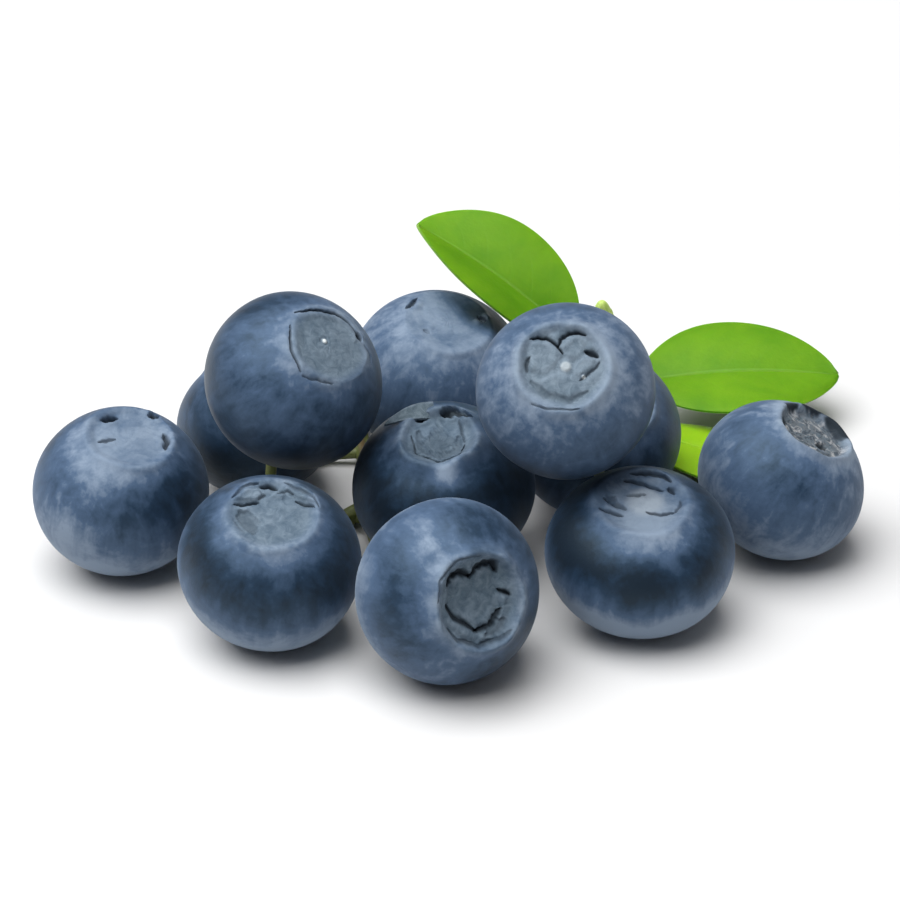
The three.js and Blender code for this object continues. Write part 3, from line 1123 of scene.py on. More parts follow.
@dataclass
class Sprig:
    """The stems that carry the berries, as routes in layout millimetres.

    Attributes:
        twig: The cut twig, from its cut end to its tip.
        racemes: The axes that the berries' stalks grow from.
        pedicels: Each berry's stalk, from its axis to the berry.
    """

    twig: Stem = field(
        default_factory=lambda: Stem(
            "twig",
            [
                (-21, 30.6, 1.1),
                (-10, 31.4, 1.1),
                (0, 31.6, 1.15),
                (7.5, 30, 1.8),
                (12.6, 26.6, 4.2),
                (14.6, 24.2, 7.6),
                (14.3, 23, 11.3),
            ],
            1.12,
            0.85,
            (0.22, 0.62, 0.83, 0.91, 0.97),
        )
    )
    racemes: list[Stem] = field(
        default_factory=lambda: [
            Stem(
                "left_rachis",
                [
                    (-9, 29.8, 1.3),
                    (-8.4, 21, 1.1),
                    (-7.6, 14, 1.1),
                    (-7.9, 8.6, 1.1),
                    (-10.5, 5.6, 1.2),
                    (-15.2, 3.6, 1.5),
                ],
                0.78,
                0.6,
                (0.17, 0.37, 0.62, 0.78, 0.9),
            ),
            Stem(
                "right_rachis",
                [
                    (11, 26.8, 1.5),
                    (15, 23.5, 1.2),
                    (18.8, 18, 1.1),
                    (19.8, 12, 1.1),
                    (19.4, 6, 1.1),
                    (18.6, 2.6, 1.2),
                ],
                0.78,
                0.6,
                (0.5, 0.74, 0.87),
            ),
        ]
    )
    pedicels: dict[str, list[Point]] = field(
        default_factory=lambda: {
            "01": [(-13, 6.1, 1.1), (-16, 6.9, 0.8), (-21.5, 6.2, 0.7), (-26.2, 4.6, 0.7)],
            "02": [(-12.4, 3.2, 1.1), (-12.6, 0.5, 0.8), (-14.2, -3.2, 0.7), (-15.6, -6.2, 0.7)],
            "03": [(-16.3, 3.4, 2), (-16.1, 3.9, 5), (-15.75, 4.75, 9.3)],
            "04": [(-9.4, 18.4, 1), (-11.6, 18.3, 0.8), (-14.1, 17.1, 0.7)],
            "05": [(-7.4, 25, 1), (-6.4, 24.7, 0.8), (-5.2, 23.9, 0.7)],
            "06": [(-6.2, 10, 1), (-5.4, 8, 0.8), (-4.3, 5.4, 0.7)],
            "07": [
                (-7.7, 6.3, 1.1),
                (-6.5, 1, 0.8),
                (-5.7, -5, 1.2),
                (-4.4, -8, 2.8),
                (-3.3, -8.6, 4.4),
                (-2.9, -9.5, 5.2),
            ],
            "08": [(17.9, 5.2, 1.3), (15.6, 3.4, 2.6), (14, 2.2, 6), (12.6, 1.9, 10), (10.4, 1.8, 13.8)],
            "09": [(17.9, 15.3, 1), (17.1, 15.2, 0.8), (16.4, 14.7, 0.8)],
            "10": [(18.2, 1.3, 1.1), (17.4, -1, 0.8), (16.7, -3.3, 0.7)],
            "11": [(21, 8.2, 1), (22.6, 6.8, 0.8), (24.9, 4.9, 0.8)],
        }
    )

    STALK = 0.5
    STALK_TIP = 0.48
    STALK_FLARE = 0.35
    STALK_INSIDE = 0.06

    def root_of(self, route: list[Point]) -> np.ndarray:
        """Find the nearest point on a raceme's axis to the start of a stalk.

        Args:
            route: The stalk's points.

        Returns:
            The point, in metres.
        """
        start = to_frame(route[0])
        lines = np.vstack([smooth_route(to_frame(stem.route), MM) for stem in self.racemes])
        return lines[np.argmin(((lines - start) ** 2).sum(1))]

    def build(
        self,
        berries: dict[str, Berry],
        bark: bpy.types.Material,
        green: bpy.types.Material,
        cut: bpy.types.Material,
    ) -> None:
        """Model the twig, the racemes' axes and every stalk.

        Args:
            berries: The berries by number.
            bark: The twig's material.
            green: The stalks' material.
            cut: The twig's cut face.
        """
        twig = self.twig.build(bark)
        self._dress_cut(twig, cut)
        line = smooth_route(to_frame(self.twig.route), MM)
        for stem in self.racemes:
            start = to_frame(stem.route[0])
            stem.build(green, begin=line[np.argmin(((line - start) ** 2).sum(1))])
        for name, route in self.pedicels.items():
            skin = berries[name].surface_towards(to_frame(route[-1]))
            inside = skin + (berries[name].centre - skin) * self.STALK_INSIDE
            stalk = Stem("pedicel_" + name, route, self.STALK, self.STALK_TIP, flare=self.STALK_FLARE)
            stalk.build(green, begin=self.root_of(route), end=inside)

    def _dress_cut(self, twig: bpy.types.Object, cut: bpy.types.Material) -> None:
        """Give the twig's cut end its own finish.

        Args:
            twig: The finished twig.
            cut: The cut face's material.
        """
        twig.data.materials.append(cut)
        start = Vector(to_frame(self.twig.route[0]))
        for face in twig.data.polygons:
            if len(face.vertices) > 4 and (face.center - start).length < MM:
                face.material_index = 1


# Leaves and bud


@dataclass
class Leaf:
    """One leaf blade with its petiole, in layout millimetres.

    Attributes:
        name: The node that it stands for.
        stalk: The start of its petiole.
        base: The midrib's start.
        tip: The midrib's end.
        face: Where its upper side looks.
        arch: How high the midrib arches.
        half_width: Half its width.
        fold: The angle that each half is folded up, in degrees.
        widest: Share of the length from the base where it is widest.
        blunt: How pointed its ends are; less is rounder.
        twist: How far it turns about its midrib from base to tip, in degrees.
        wave: Phase of its edge's slow wave.
        painted_glow: How much painted light brightens it to yellow-green, from 0 to 1.
    """

    name: str
    stalk: Point
    base: Point
    tip: Point
    face: Point
    arch: float
    half_width: float
    fold: float
    widest: float
    blunt: float
    twist: float
    wave: float = 0.0
    painted_glow: float = 0.0

    THICKNESS = 0.26
    PETIOLE = 0.52
    PETIOLE_TIP = 0.42
    LEAST_HALF = 0.12
    RIPPLE = 0.22
    MIDRIB = 0.42
    MIDRIB_BENEATH = 0.45
    MIDRIB_ABOVE = 0.10

    def build(self, blade_green: bpy.types.Material, stalk_green: bpy.types.Material) -> bpy.types.Object:
        """Model and dress the leaf.

        Args:
            blade_green: The blade's material.
            stalk_green: The petiole's material.

        Returns:
            The finished leaf.
        """
        blade = self._blade()
        blade.data.materials.append(blade_green)
        start, base = to_frame(self.stalk), to_frame(self.base)
        inside = self._spot(np.array((0.04,)), np.array((0.0,)))[0]
        petiole = Stem(self.name, [], self.PETIOLE, self.PETIOLE_TIP)
        tube = petiole.tube(np.vstack((start + (start - base) * 0.45, start, base, inside)))
        tube.data.materials.append(stalk_green)
        return settle(join([blade, tube], self.name), self.name)

    def _axes(self) -> tuple[np.ndarray, np.ndarray, np.ndarray, float]:
        """Find how the blade lies.

        Returns:
            The directions along, across and up from the blade, and its length in metres.
        """
        along = to_frame(self.tip) - to_frame(self.base)
        length = float(np.linalg.norm(along))
        along /= length
        up = np.array(self.face, float)
        up -= (up @ along) * along
        up /= np.linalg.norm(up)
        return along, np.cross(along, up), up, length

    def _spot(self, share: np.ndarray, across: np.ndarray) -> np.ndarray:
        """Place points of the blade's middle surface.

        Args:
            share: Share of the length from the base.
            across: Share of the half width, from -1 to 1.

        Returns:
            Points, in metres.
        """
        along, side, up, length = self._axes()
        bend = math.log(0.5) / math.log(self.widest)
        outline = np.clip(np.sin(np.pi * np.clip(share, 0.0, 1.0) ** bend), 0.0, 1.0) ** self.blunt
        half = np.maximum(self.half_width * outline, self.LEAST_HALF) * MM
        fold = math.radians(self.fold)
        rounded = np.sqrt(across**2 + 0.004) - math.sqrt(0.004)
        cup = 0.10 * np.abs(across) ** 3
        ripple = self.RIPPLE * MM * np.sin(8.0 * share + self.wave + 1.5 * np.sign(across)) * across**2
        out, over = half * across * math.cos(fold), half * (rounded * math.sin(fold) - cup) + ripple
        turn = math.radians(self.twist) * (share - 0.5)
        lift = self.arch * MM * np.sin(np.pi * share) + out * np.sin(turn) + over * np.cos(turn)
        place = to_frame(self.base) + np.outer(length * share, along)
        return place + np.outer(out * np.cos(turn) - over * np.sin(turn), side) + np.outer(lift, up)

    def _blade(self) -> bpy.types.Object:
        """Shape a grid into the blade and thicken it.

        Returns:
            The blade, which stores its own places and its under side.
        """
        bpy.ops.object.select_all(action="DESELECT")
        bpy.ops.mesh.primitive_grid_add(x_subdivisions=90, y_subdivisions=40, size=2.0)
        obj = bpy.context.object
        flat = points_of(obj)
        share, across = (flat[:, 0] + 1.0) / 2.0, flat[:, 1]
        set_points(obj, self._spot(share, across))
        set_attribute(obj, "leaf_place", np.column_stack((share, across, np.zeros(len(share)))))
        thick = obj.modifiers.new("thickness", "SOLIDIFY")
        thick.thickness = self.THICKNESS * MM
        thick.offset = 0.0
        bpy.ops.object.modifier_apply(modifier=thick.name)
        close_seams(obj, BLADE_SEAM)
        up = self._axes()[2]
        normals = np.array([vertex.normal for vertex in obj.data.vertices])
        under = smooth(0.15, -0.15, normals @ up)
        set_attribute(obj, "under", under)
        set_attribute(obj, "painted_glow", np.full(len(under), self.painted_glow))
        stored = np.empty(len(under) * 3)
        obj.data.attributes["leaf_place"].data.foreach_get("vector", stored)
        share, across = stored[0::3], stored[1::3]
        midrib = bell(across * self.half_width, 0.0, self.MIDRIB) * (1.0 - 0.75 * share)
        drop = midrib * (self.MIDRIB_BENEATH * under + self.MIDRIB_ABOVE * (1.0 - under)) * MM
        set_points(obj, points_of(obj) - np.outer(drop, up))
        return obj


@dataclass
class TerminalBud:
    """The closed bud at the twig's tip, wrapped in pointed scales.

    Attributes:
        node: The node that it stands for.
        whorls: For each whorl of scales, where its tips are along the bud and how it is turned.
        scales: How many scales a whorl has.
    """

    node: str = "terminal_bud"
    whorls: tuple[tuple[float, float], ...] = ((0.78, 0.0), (0.55, 0.6), (0.3, 1.2))
    scales: int = 3

    SPREAD = 1.15
    STEP_UP = 0.085
    PLUMP = 1.3
    OVERLAP = 1.3

    def build(self, finish: bpy.types.Material, growth: np.ndarray) -> bpy.types.Object:
        """Model and dress the bud.

        Args:
            finish: The bud's material.
            growth: The way the twig's tip points.

        Returns:
            The finished bud.
        """
        own = points_of(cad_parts[self.node])
        reach = own @ growth
        length = float(reach.max() - reach.min())
        middle = (own[reach > reach.max() - 1e-6].mean(0)) - growth * length / 2.0
        off = own - middle - np.outer((own - middle) @ growth, growth)
        radius = self.PLUMP * float(np.linalg.norm(off, axis=1).max())
        bpy.ops.object.select_all(action="DESELECT")
        turned = Vector(growth).to_track_quat("Z", "Y")
        bpy.ops.mesh.primitive_uv_sphere_add(
            segments=48, ring_count=40, radius=radius, location=middle, rotation=turned.to_euler()
        )
        obj = bpy.context.object
        bpy.ops.object.transform_apply(location=True, rotation=True, scale=True)
        basis = np.array(turned.to_matrix()).T
        local = (points_of(obj) - middle) @ basis.T / radius
        turn = np.arctan2(local[:, 1], local[:, 0])
        share = (local[:, 2] + 1.0) / 2.0
        wide = np.clip(np.sin(np.pi * np.clip(share, 0.0, 1.0) ** 0.9), 0.0, 1.0) ** 0.42
        wide = wide * (1.0 - 0.10 * share)
        step = np.zeros_like(share)
        for top, start in self.whorls:
            for scale in range(self.scales):
                off_turn = turn_between(turn, start + 2.0 * np.pi * scale / self.scales) / self.SPREAD
                outline = top + 0.22 * np.sqrt(np.clip(1.0 - off_turn**2, 0.0, 1.0)) - 0.25
                covered = np.abs(off_turn) < 1.0
                step += self.STEP_UP * smooth(outline + 0.02, outline - 0.03, share) * covered
        wide = wide * (0.82 + step)
        up = (share - 0.5) * (length + self.OVERLAP * MM)
        out = wide * radius
        place = np.column_stack((out * np.cos(turn), out * np.sin(turn), up))
        set_points(obj, place @ basis + middle - growth * 0.15 * MM)
        set_attribute(obj, "grain", np.column_stack((turn * 1.2, step * 9.0, share * 2.0)))
        obj.data.materials.append(finish)
        return settle(obj, self.node)


# Studio


@dataclass
class Studio:
    """The pale floor, the soft light and the camera, in layout millimetres and degrees.

    Attributes:
        aim: The point that the camera and the lamp look at.
        distance: How far the camera is from it.
        elevation: The camera's angle above the floor.
        lens: The camera's focal length on Blender's own sensor.
        lamp_place: The lamp's middle.
        lamp_size: The length of the lamp's side.
        lamp_power: The lamp's power in watts.
        floor_size: The length of the floor's side.
        floor_dim: The floor's darker tone.
        floor_pale: The floor's lighter tone.
        glow_from: How far out the floor starts to fade into the backdrop.
        glow_to: How far out it has faded.
        far_glow: The faded floor's light.
        horizon: The room's light from the side.
        zenith: The room's light from above.
        backdrop: What the camera sees behind the floor.
    """

    aim: Point = (0.0, 0.0, 12.0)
    distance: float = 320.0
    elevation: float = 30.0
    lens: float = 146.45
    lamp_place: Point = (-190.0, -40.0, 620.0)
    lamp_size: float = 760.0
    lamp_power: float = 10.2
    floor_size: float = 6000.0
    floor_dim: Colour = (0.60, 0.60, 0.60, 1.0)
    floor_pale: Colour = (0.63, 0.63, 0.63, 1.0)
    glow_from: float = 120.0
    glow_to: float = 480.0
    horizon: Colour = (0.02, 0.02, 0.022, 1.0)
    zenith: Colour = (0.27, 0.27, 0.28, 1.0)
    backdrop: Colour = (1.0, 1.0, 1.0, 1.0)
    far_glow: Colour = (0.98, 0.98, 0.98, 1.0)

    def build(self) -> None:
        """Set up the floor, the light and the camera."""
        self._floor()
        self._sky()
        self._lamp()
        self._camera()
        view = bpy.context.scene.view_settings
        view.view_transform = "Standard"
        view.look = "None"

    def _floor(self) -> None:
        """Lay the floor that isn't part of the sprig."""
        bpy.ops.object.select_all(action="DESELECT")
        bpy.ops.mesh.primitive_plane_add(size=self.floor_size * MM)
        floor = bpy.context.object
        floor.name = "pale_floor"
        shade = Shade.surface("pale_floor")
        solid = shade.node("ShaderNodeTexCoord", output="Object")
        cloud = shade.noise(solid, 3.0, 2.0)
        colour = shade.mix(cloud, self.floor_dim, self.floor_pale)
        away = shade.node("ShaderNodeVectorMath", {"operation": "LENGTH"}, {0: solid}, "Value")
        faded = away.between(self.glow_from * MM, self.glow_to * MM)
        glow = shade.mix(faded, (0.0, 0.0, 0.0, 1.0), self.far_glow)
        sockets = {"Base Color": colour, "Roughness": 0.9, "Emission Color": glow, "Emission Strength": 1.0}
        floor.data.materials.append(shade.finish(sockets))

    def _sky(self) -> None:
        """Light the room softly from above, darker near the horizon, in front of a pale backdrop."""
        world = bpy.data.worlds.new("soft_room")
        bpy.context.scene.world = world
        shade = Shade(world)
        way = shade.node("ShaderNodeTexCoord", output="Generated")
        height = shade.node("ShaderNodeSeparateXYZ", None, {0: way}, "Z")
        seen = shade.node("ShaderNodeLightPath", output="Is Camera Ray")
        glow = shade.mix(height.between(0.0, 0.9), self.horizon, self.zenith)
        colour = shade.mix(seen, glow, self.backdrop)
        light = shade.node("ShaderNodeBackground", None, {"Color": colour, "Strength": 1.0})
        shade.node("ShaderNodeOutputWorld", None, {"Surface": light})

    def _lamp(self) -> None:
        """Hang one soft square lamp that looks at the sprig."""
        data = bpy.data.lights.new("key", "AREA")
        data.size = self.lamp_size * MM
        data.energy = self.lamp_power
        lamp = bpy.data.objects.new("key", data)
        lamp.location = to_frame(self.lamp_place)
        way = Vector(to_frame(self.aim)) - lamp.location
        lamp.rotation_euler = way.to_track_quat("-Z", "Y").to_euler()
        bpy.context.scene.collection.objects.link(lamp)

    def _camera(self) -> None:
        """Place the camera at the photograph's viewing angle."""
        data = bpy.data.cameras.new("camera")
        data.lens = self.lens
        data.clip_start = 0.01
        camera = bpy.data.objects.new("camera", data)
        angle = math.radians(self.elevation)
        ahead = Vector((0.0, math.cos(angle), -math.sin(angle)))
        camera.location = Vector(to_frame(self.aim)) - ahead * self.distance * MM
        camera.rotation_euler = ahead.to_track_quat("-Z", "Y").to_euler()
        bpy.context.scene.collection.objects.link(camera)
        bpy.context.scene.camera = camera


BERRIES = [
    Berry(
        "01",
        (0.05, -0.32, 0.95),
        Crown.FLAT,
        rim=0.50,
        shift=(0.2, 0.25),
        cracks=(
            Crack(((-0.46, 0.77), (-0.14, 0.87)), 0.075),
            Crack(((-0.47, 0.03), (-0.12, 0.14)), 0.05, 0.6),
            Crack(((0.95, 0.50), (1.03, 0.25), (1.03, -0.01)), 0.06, 0.9),
            Crack(((0.60, 1.05), (0.78, 1.12)), 0.10),
        ),
        wax=0.61,
        dust=0.8,
        painted_belt_shade=0.18,
        painted_lower_light=0.32,
        light_shade_and_bloom_spots=((-128, 70, 22, 0.2), (-27, 66, 26, -0.2)),
    ),
    Berry(
        "02",
        (0.06, -0.39, 0.92),
        Crown.FLAT,
        rim=0.50,
        shift=(0.02, 0.20),
        cracks=(
            Crack(((-0.86, 0.63), (-0.66, 0.92), (-0.30, 1.07)), 0.035, 0.6),
            Crack(((0.27, 1.10), (0.62, 0.94), (0.90, 0.70), (1.02, 0.45)), 0.035, 0.5),
            Crack(((-0.80, 0.46), (-0.56, 0.45), (-0.28, 0.54)), 0.036),
            Crack(((-0.30, 0.62), (-0.16, 0.80)), 0.03, 0.6),
            Crack(((-0.26, 0.98), (-0.06, 1.02), (0.10, 0.92)), 0.045),
            Crack(((0.10, 0.80), (0.30, 0.88), (0.44, 0.80)), 0.03, 0.7),
            Crack(((0.50, 0.64), (0.70, 0.53), (0.92, 0.44)), 0.030, 0.9),
            Crack(((-0.66, 0.24), (-0.50, -0.06), (-0.36, -0.28)), 0.2, 0.38),
        ),
        patches=(
            Patch(
                ((-0.82, 0.58), (-0.60, 0.82), (-0.32, 0.90), (-0.20, 0.74), (-0.33, 0.58), (-0.60, 0.57)),
                0.034,
            ),
            Patch(((0.30, 0.98), (0.70, 0.80), (0.92, 0.56), (0.55, 0.72), (0.28, 0.84)), 0.030),
            Patch(((-0.05, 0.72), (0.08, 0.86), (0.26, 0.80), (0.20, 0.66)), 0.024),
        ),
        wax=0.42,
        bloom_and_light_halo=0.32,
        painted_belt_shade=0.24,
        painted_lower_light=0.60,
        light_shade_and_bloom_spots=((-43, 63, 24, -0.2), (-125, 80, 20, 0.12)),
    ),
    Berry(
        "03",
        (0.49, -0.43, 0.76),
        Crown.DISC,
        rim=0.47,
        cracks=(
            Crack(
                ((-0.87, 0.68), (-0.48, 0.84), (-0.16, 0.89), (0.17, 0.94), (0.49, 0.80), (0.79, 0.52)),
                0.03,
                0.9,
            ),
            Crack(((0.72, 0.60), (0.86, 0.42)), 0.06),
            Crack(
                ((-0.97, 0.25), (-1.00, -0.10), (-0.93, -0.42), (-0.80, -0.70), (-0.68, -0.86)), 0.030, 0.75
            ),
            Crack(((-0.62, -0.93), (-0.40, -1.00), (-0.12, -1.01), (0.14, -0.97)), 0.028, 0.6),
            Crack(((0.96, 0.33), (1.13, 0.11), (1.17, -0.08)), 0.03, 0.35),
        ),
        patches=(
            Patch(
                (
                    (-0.86, 0.62),
                    (-0.48, 0.80),
                    (0.17, 0.90),
                    (0.49, 0.77),
                    (0.76, 0.50),
                    (1.06, 0.05),
                    (0.90, -0.50),
                    (0.40, -0.92),
                    (-0.35, -0.96),
                    (-0.72, -0.78),
                    (-0.92, -0.45),
                    (-0.97, 0.00),
                ),
                0.012,
            ),
        ),
        scars=((-0.11, 0.08, 0.065, 1.0),),
        wax=0.50,
        painted_belt_shade=0.12,
        painted_lower_light=-0.34,
        light_shade_and_bloom_spots=((174, 66, 24, 0.20), (-158, 103, 10, 0.30)),
    ),
    Berry(
        "04",
        (-0.20, 0.50, 0.84),
        Crown.RINGED,
        cracks=five_lobes(20.0, 0.5),
        wax=0.50,
        painted_lower_light=-0.1,
        light_shade_and_bloom_spots=((-130, 112, 30, -0.4),),
    ),
    Berry(
        "05",
        (0.15, -0.23, 0.96),
        Crown.DISC,
        rim=0.48,
        cracks=(
            Crack(((-0.72, 0.68), (-0.84, 0.46), (-0.98, 0.30)), 0.045, 0.8),
            Crack(((-0.56, -0.36), (-0.44, -0.46)), 0.06, 0.35),
            Crack(((0.70, 0.30), (0.86, 0.16)), 0.06, 0.9),
        ),
        wax=0.74,
        dust=0.8,
        bloom_and_light_halo=0.10,
        painted_belt_shade=0.05,
        painted_lower_light=-0.10,
        light_shade_and_bloom_spots=((21, 28, 12, -1.0), (40, 19, 9, -0.4), (5, 36, 10, -0.6), (75, 24, 8, -0.4)),
    ),
    Berry(
        "06",
        (-0.06, -0.32, 0.95),
        Crown.NECKED,
        rim=0.42,
        cracks=(
            Crack(((0.10, 0.84), (0.45, 0.90), (0.82, 0.72)), 0.13),
            Crack(((-0.59, 0.67), (-0.28, 0.80)), 0.07),
            Crack(((-0.71, 0.20), (-0.59, -0.42), (-0.06, -0.73), (0.52, -0.62), (0.66, -0.20)), 0.028, 0.7),
            Crack(((-0.52, 0.36), (-0.48, -0.26), (0.00, -0.52), (0.44, -0.42), (0.52, 0.10)), 0.12, 0.3),
            Crack(((0.66, -0.10), (0.61, 0.26), (0.50, 0.60)), 0.03, 0.5),
            Crack(((-0.25, -0.05), (0.25, -0.05)), 0.45, 0.3),
        ),
        wax=0.34,
        lobe=((-0.10, 0.96), (-1.42, 0.66)),
        dust=0.35,
        bloom_and_light_halo=0.12,
        painted_belt_shade=0.22,
        painted_lower_light=0.0,
        light_shade_and_bloom_spots=((-80, 29, 9, 0.75), (-144, 61, 24, -0.2)),
    ),
    Berry(
        "07",
        (0.37, -0.86, 0.34),
        Crown.DEEP,
        rim=0.52,
        shift=(0.06, 0.06),
        cracks=(
            Crack(((-0.56, 0.40), (-0.48, 0.60), (-0.26, 0.66), (-0.04, 0.53)), 0.07, 0.95),
            Crack(((-0.04, 0.53), (0.07, 0.75), (0.25, 0.82), (0.43, 0.80), (0.52, 0.60)), 0.07, 0.95),
            Crack(((0.56, 0.24), (0.80, 0.13)), 0.05),
            Crack(((-0.60, 0.02), (-0.42, -0.27), (-0.12, -0.48), (0.10, -0.59)), 0.055, 0.95),
            Crack(((0.02, -0.58), (0.39, -0.49), (0.62, -0.16)), 0.055, 0.95),
            Crack(((-0.63, -0.45), (-0.41, -0.71), (0.05, -0.85), (0.50, -0.75), (0.73, -0.55)), 0.04, 0.6),
            Crack(((-0.88, 0.10), (-0.80, 0.55), (-0.45, 0.92), (0.10, 1.02)), 0.03, 0.5),
            Crack(((0.26, -0.66), (0.48, -0.56), (0.66, -0.36)), 0.10, 0.4),
        ),
        patches=(
            Patch(
                (
                    (-0.59, 0.05),
                    (-0.54, 0.45),
                    (-0.41, 0.62),
                    (-0.24, 0.64),
                    (-0.04, 0.50),
                    (0.07, 0.72),
                    (0.23, 0.80),
                    (0.41, 0.80),
                    (0.52, 0.60),
                    (0.48, 0.36),
                    (0.60, 0.18),
                    (0.61, -0.14),
                    (0.39, -0.46),
                    (0.10, -0.56),
                    (-0.12, -0.46),
                    (-0.41, -0.25),
                ),
                -0.060,
                0.06,
            ),
        ),
        wax=0.40,
        painted_belt_shade=0.12,
        painted_lower_light=0.50,
        light_shade_and_bloom_spots=((122, 55, 24, 0.42), (127, 51, 15, 0.26), (-110, 57, 24, 0.44), (37, 44, 16, 0.1)),
    ),
    Berry(
        "08",
        (-0.03, -0.68, 0.74),
        Crown.RINGED,
        rim=0.52,
        shift=(-0.06, 0.04),
        cracks=(
            Crack(((-0.72, 0.70), (-0.55, 0.73), (-0.39, 0.70), (-0.18, 0.53), (-0.08, 0.35)), 0.035),
            Crack(((-0.15, 0.50), (-0.08, 0.67), (0.10, 0.82), (0.30, 0.81), (0.45, 0.73)), 0.038),
            Crack(((0.40, 0.38), (0.67, 0.28)), 0.06),
            Crack(((0.72, 0.15), (0.65, 0.02), (0.45, -0.15), (0.29, -0.25)), 0.03, 0.6),
            Crack(((-0.77, 0.30), (-0.82, 0.12), (-0.80, -0.05)), 0.04, 0.7),
            Crack(((-0.73, -0.76), (-0.32, -0.93), (0.28, -0.92)), 0.025, 0.6),
            Crack(((-0.74, -0.25), (-0.40, -0.58), (0.08, -0.70), (0.46, -0.52)), 0.07, 0.28),
        ),
        patches=(
            Patch(
                (
                    (-0.74, 0.62), (-0.38, 0.66), (-0.17, 0.46), (-0.12, 0.18),
                    (-0.40, -0.06), (-0.74, 0.02),
                ),
                0.020,
                0.08,
            ),
            Patch(
                (
                    (-0.12, 0.46), (-0.05, 0.64), (0.10, 0.77), (0.30, 0.76),
                    (0.44, 0.62), (0.34, 0.26), (0.05, 0.22),
                ),
                0.022,
                0.08,
            ),
            Patch(
                (
                    (0.46, 0.30), (0.70, 0.20), (0.66, 0.02), (0.30, -0.20),
                    (0.18, -0.02), (0.26, 0.18),
                ),
                0.018,
                0.08,
            ),
            Patch(
                (
                    (-0.56, -0.22), (-0.14, -0.08), (0.14, -0.14), (0.30, -0.34),
                    (0.40, -0.50), (0.05, -0.64), (-0.36, -0.54),
                ),
                0.014,
                0.09,
            ),
        ),
        scars=((0.0, 0.06, 0.13, 0.35), (0.38, -0.18, 0.045, 0.8)),
        wax=0.67,
        painted_belt_shade=0.0,
        painted_lower_light=-0.46,
        light_shade_and_bloom_spots=((-96, 39, 16, 0.1), (163, 49, 20, 0.06)),
    ),
    Berry("09", (0.25, -0.52, 0.82), Crown.RINGED, cracks=five_lobes(50.0, 0.45), wax=0.46),
    Berry(
        "10",
        (0.00, -0.32, 0.95),
        Crown.FLAT,
        rim=0.50,
        shift=(-0.03, 0.24),
        cracks=(
            Crack(((-0.22, 1.10), (0.21, 1.12), (0.48, 1.00), (0.62, 0.85)), 0.045, 0.8),
            Crack(((-0.36, 0.96), (0.08, 0.79), (0.46, 0.61)), 0.05, 0.75),
            Crack(((0.59, 0.69), (0.67, 0.53)), 0.06, 0.8),
            Crack(((0.78, 0.30), (0.80, 0.15), (0.68, -0.06)), 0.03, 0.6),
            Crack(((-0.32, 0.46), (-0.12, 0.42), (0.06, 0.46)), 0.045, 0.6),
            Crack(((-0.88, 0.05), (-0.64, -0.04), (-0.42, -0.12)), 0.045, 0.8),
            Crack(((-0.80, 0.40), (-0.52, 0.18), (-0.34, 0.06)), 0.06, 0.6),
            Crack(((0.08, -0.07), (0.40, -0.12), (0.65, -0.06)), 0.035, 0.7),
            Crack(((-0.72, 0.36), (-0.60, 0.46)), 0.12, 0.4),
        ),
        scars=((0.05, 0.26, 0.46, 0.18),),
        wax=0.36,
        dust=0.7,
        bloom_and_light_halo=0.36,
        painted_belt_shade=0.20,
        painted_lower_light=0.98,
        light_shade_and_bloom_spots=(
            (-160, 50, 22, -0.32),
            (-40, 60, 24, -0.12),
            (-60, 8, 22, 0.36),
            (-90, 50, 12, -0.18),
            (-90, 68, 16, -0.30),
        ),
    ),
    Berry(
        "11",
        (0.47, -0.07, 0.88),
        Crown.OPEN,
        rim=0.48,
        cracks=(
            Crack(((-0.80, 0.60), (-0.62, 0.74), (-0.42, 0.86)), 0.13, 1.0, 0.3),
            Crack(((-0.28, 0.92), (-0.02, 0.98), (0.28, 0.98)), 0.12, 1.0, 0.0),
            Crack(((0.45, 0.86), (0.74, 0.68), (0.97, 0.34)), 0.22, 1.0, 0.0),
            Crack(((0.10, 1.05), (0.60, 0.92), (1.02, 0.50)), 0.06, 0.9, 0.0),
            Crack(((-0.88, 0.02), (-0.74, 0.16)), 0.08),
            Crack(((0.13, -0.30), (0.38, -0.26)), 0.11, 0.9),
        ),
        wax=0.62,
        brown=0.7,
        painted_belt_shade=0.08,
        painted_lower_light=0.25,
        light_shade_and_bloom_spots=((-163, 64, 22, 0.1),),
    ),
]

LEAVES = [
    Leaf(
        "leaf_upper",
        stalk=(12.75, 22.7, 9.7),
        base=(11.4, 22.9, 11.05),
        tip=(-3.05, 28.3, 19.8),
        face=(0.563, -0.416, 0.714),
        arch=0.7,
        half_width=6.3,
        fold=26,
        widest=0.515,
        blunt=0.5,
        twist=-30,
        wave=0.4,
    ),
    Leaf(
        "leaf_right",
        stalk=(15.1, 26.4, 5.0),
        base=(17.8, 26, 4.5),
        tip=(36.8, 27.4, 4.4),
        face=(0.186, -0.15, 0.971),
        arch=0.85,
        half_width=7.2,
        fold=10.5,
        widest=0.47,
        blunt=0.66,
        twist=-7,
        wave=2.0,
    ),
    Leaf(
        "leaf_low",
        stalk=(14.3, 26.6, 2.5),
        base=(17.9, 19.6, 2.7),
        tip=(34.3, 11, 1.1),
        face=(0, 0.05, 1),
        arch=0.3,
        half_width=5.1,
        fold=5,
        widest=0.42,
        blunt=0.7,
        twist=0,
        wave=4.0,
        # Painted light brightens this leaf's green.
        painted_glow=0.8,
    ),
]


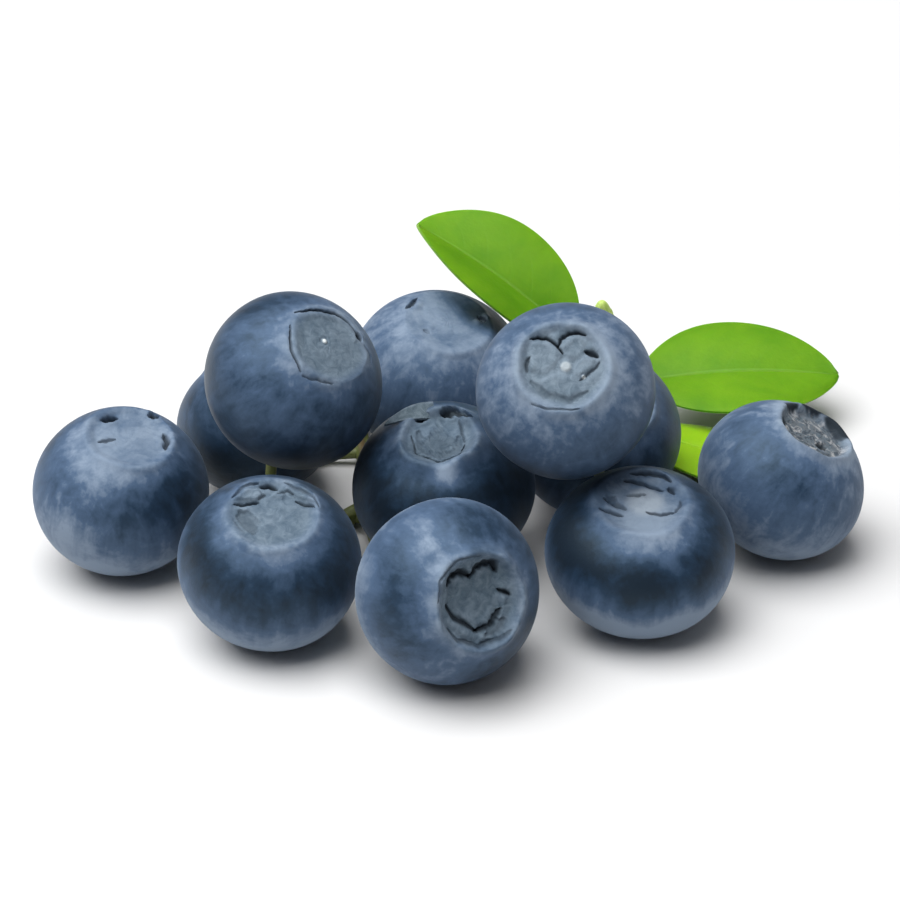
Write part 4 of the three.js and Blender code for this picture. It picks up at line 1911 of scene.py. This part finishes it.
def main() -> None:
    """Build the sprig piece by piece, then the studio."""
    logging.basicConfig(level=logging.INFO, format="%(name)s %(message)s")
    sprig = Sprig()
    skin = BerrySkin().material()
    green = StalkGreen().material("stalk_green")
    bark = TWIG_BARK.material("twig_bark")
    berries = {berry.name: berry for berry in BERRIES}
    blank = Berry.blank()
    for berry in BERRIES:
        berry.build(blank, to_frame(sprig.pedicels[berry.name][-1]), skin)
    bpy.data.objects.remove(blank)
    sprig.build(berries, bark, green, CutWood().material())
    blade = LeafGreen().material()
    for leaf in LEAVES:
        leaf.build(blade, green)
    tip = to_frame(sprig.twig.route[-2:])
    growth = (tip[1] - tip[0]) / np.linalg.norm(tip[1] - tip[0])
    TerminalBud().build(BUD_SCALE.material("bud_scale"), growth)
    Studio().build()


if __name__ == "__main__":
    main()
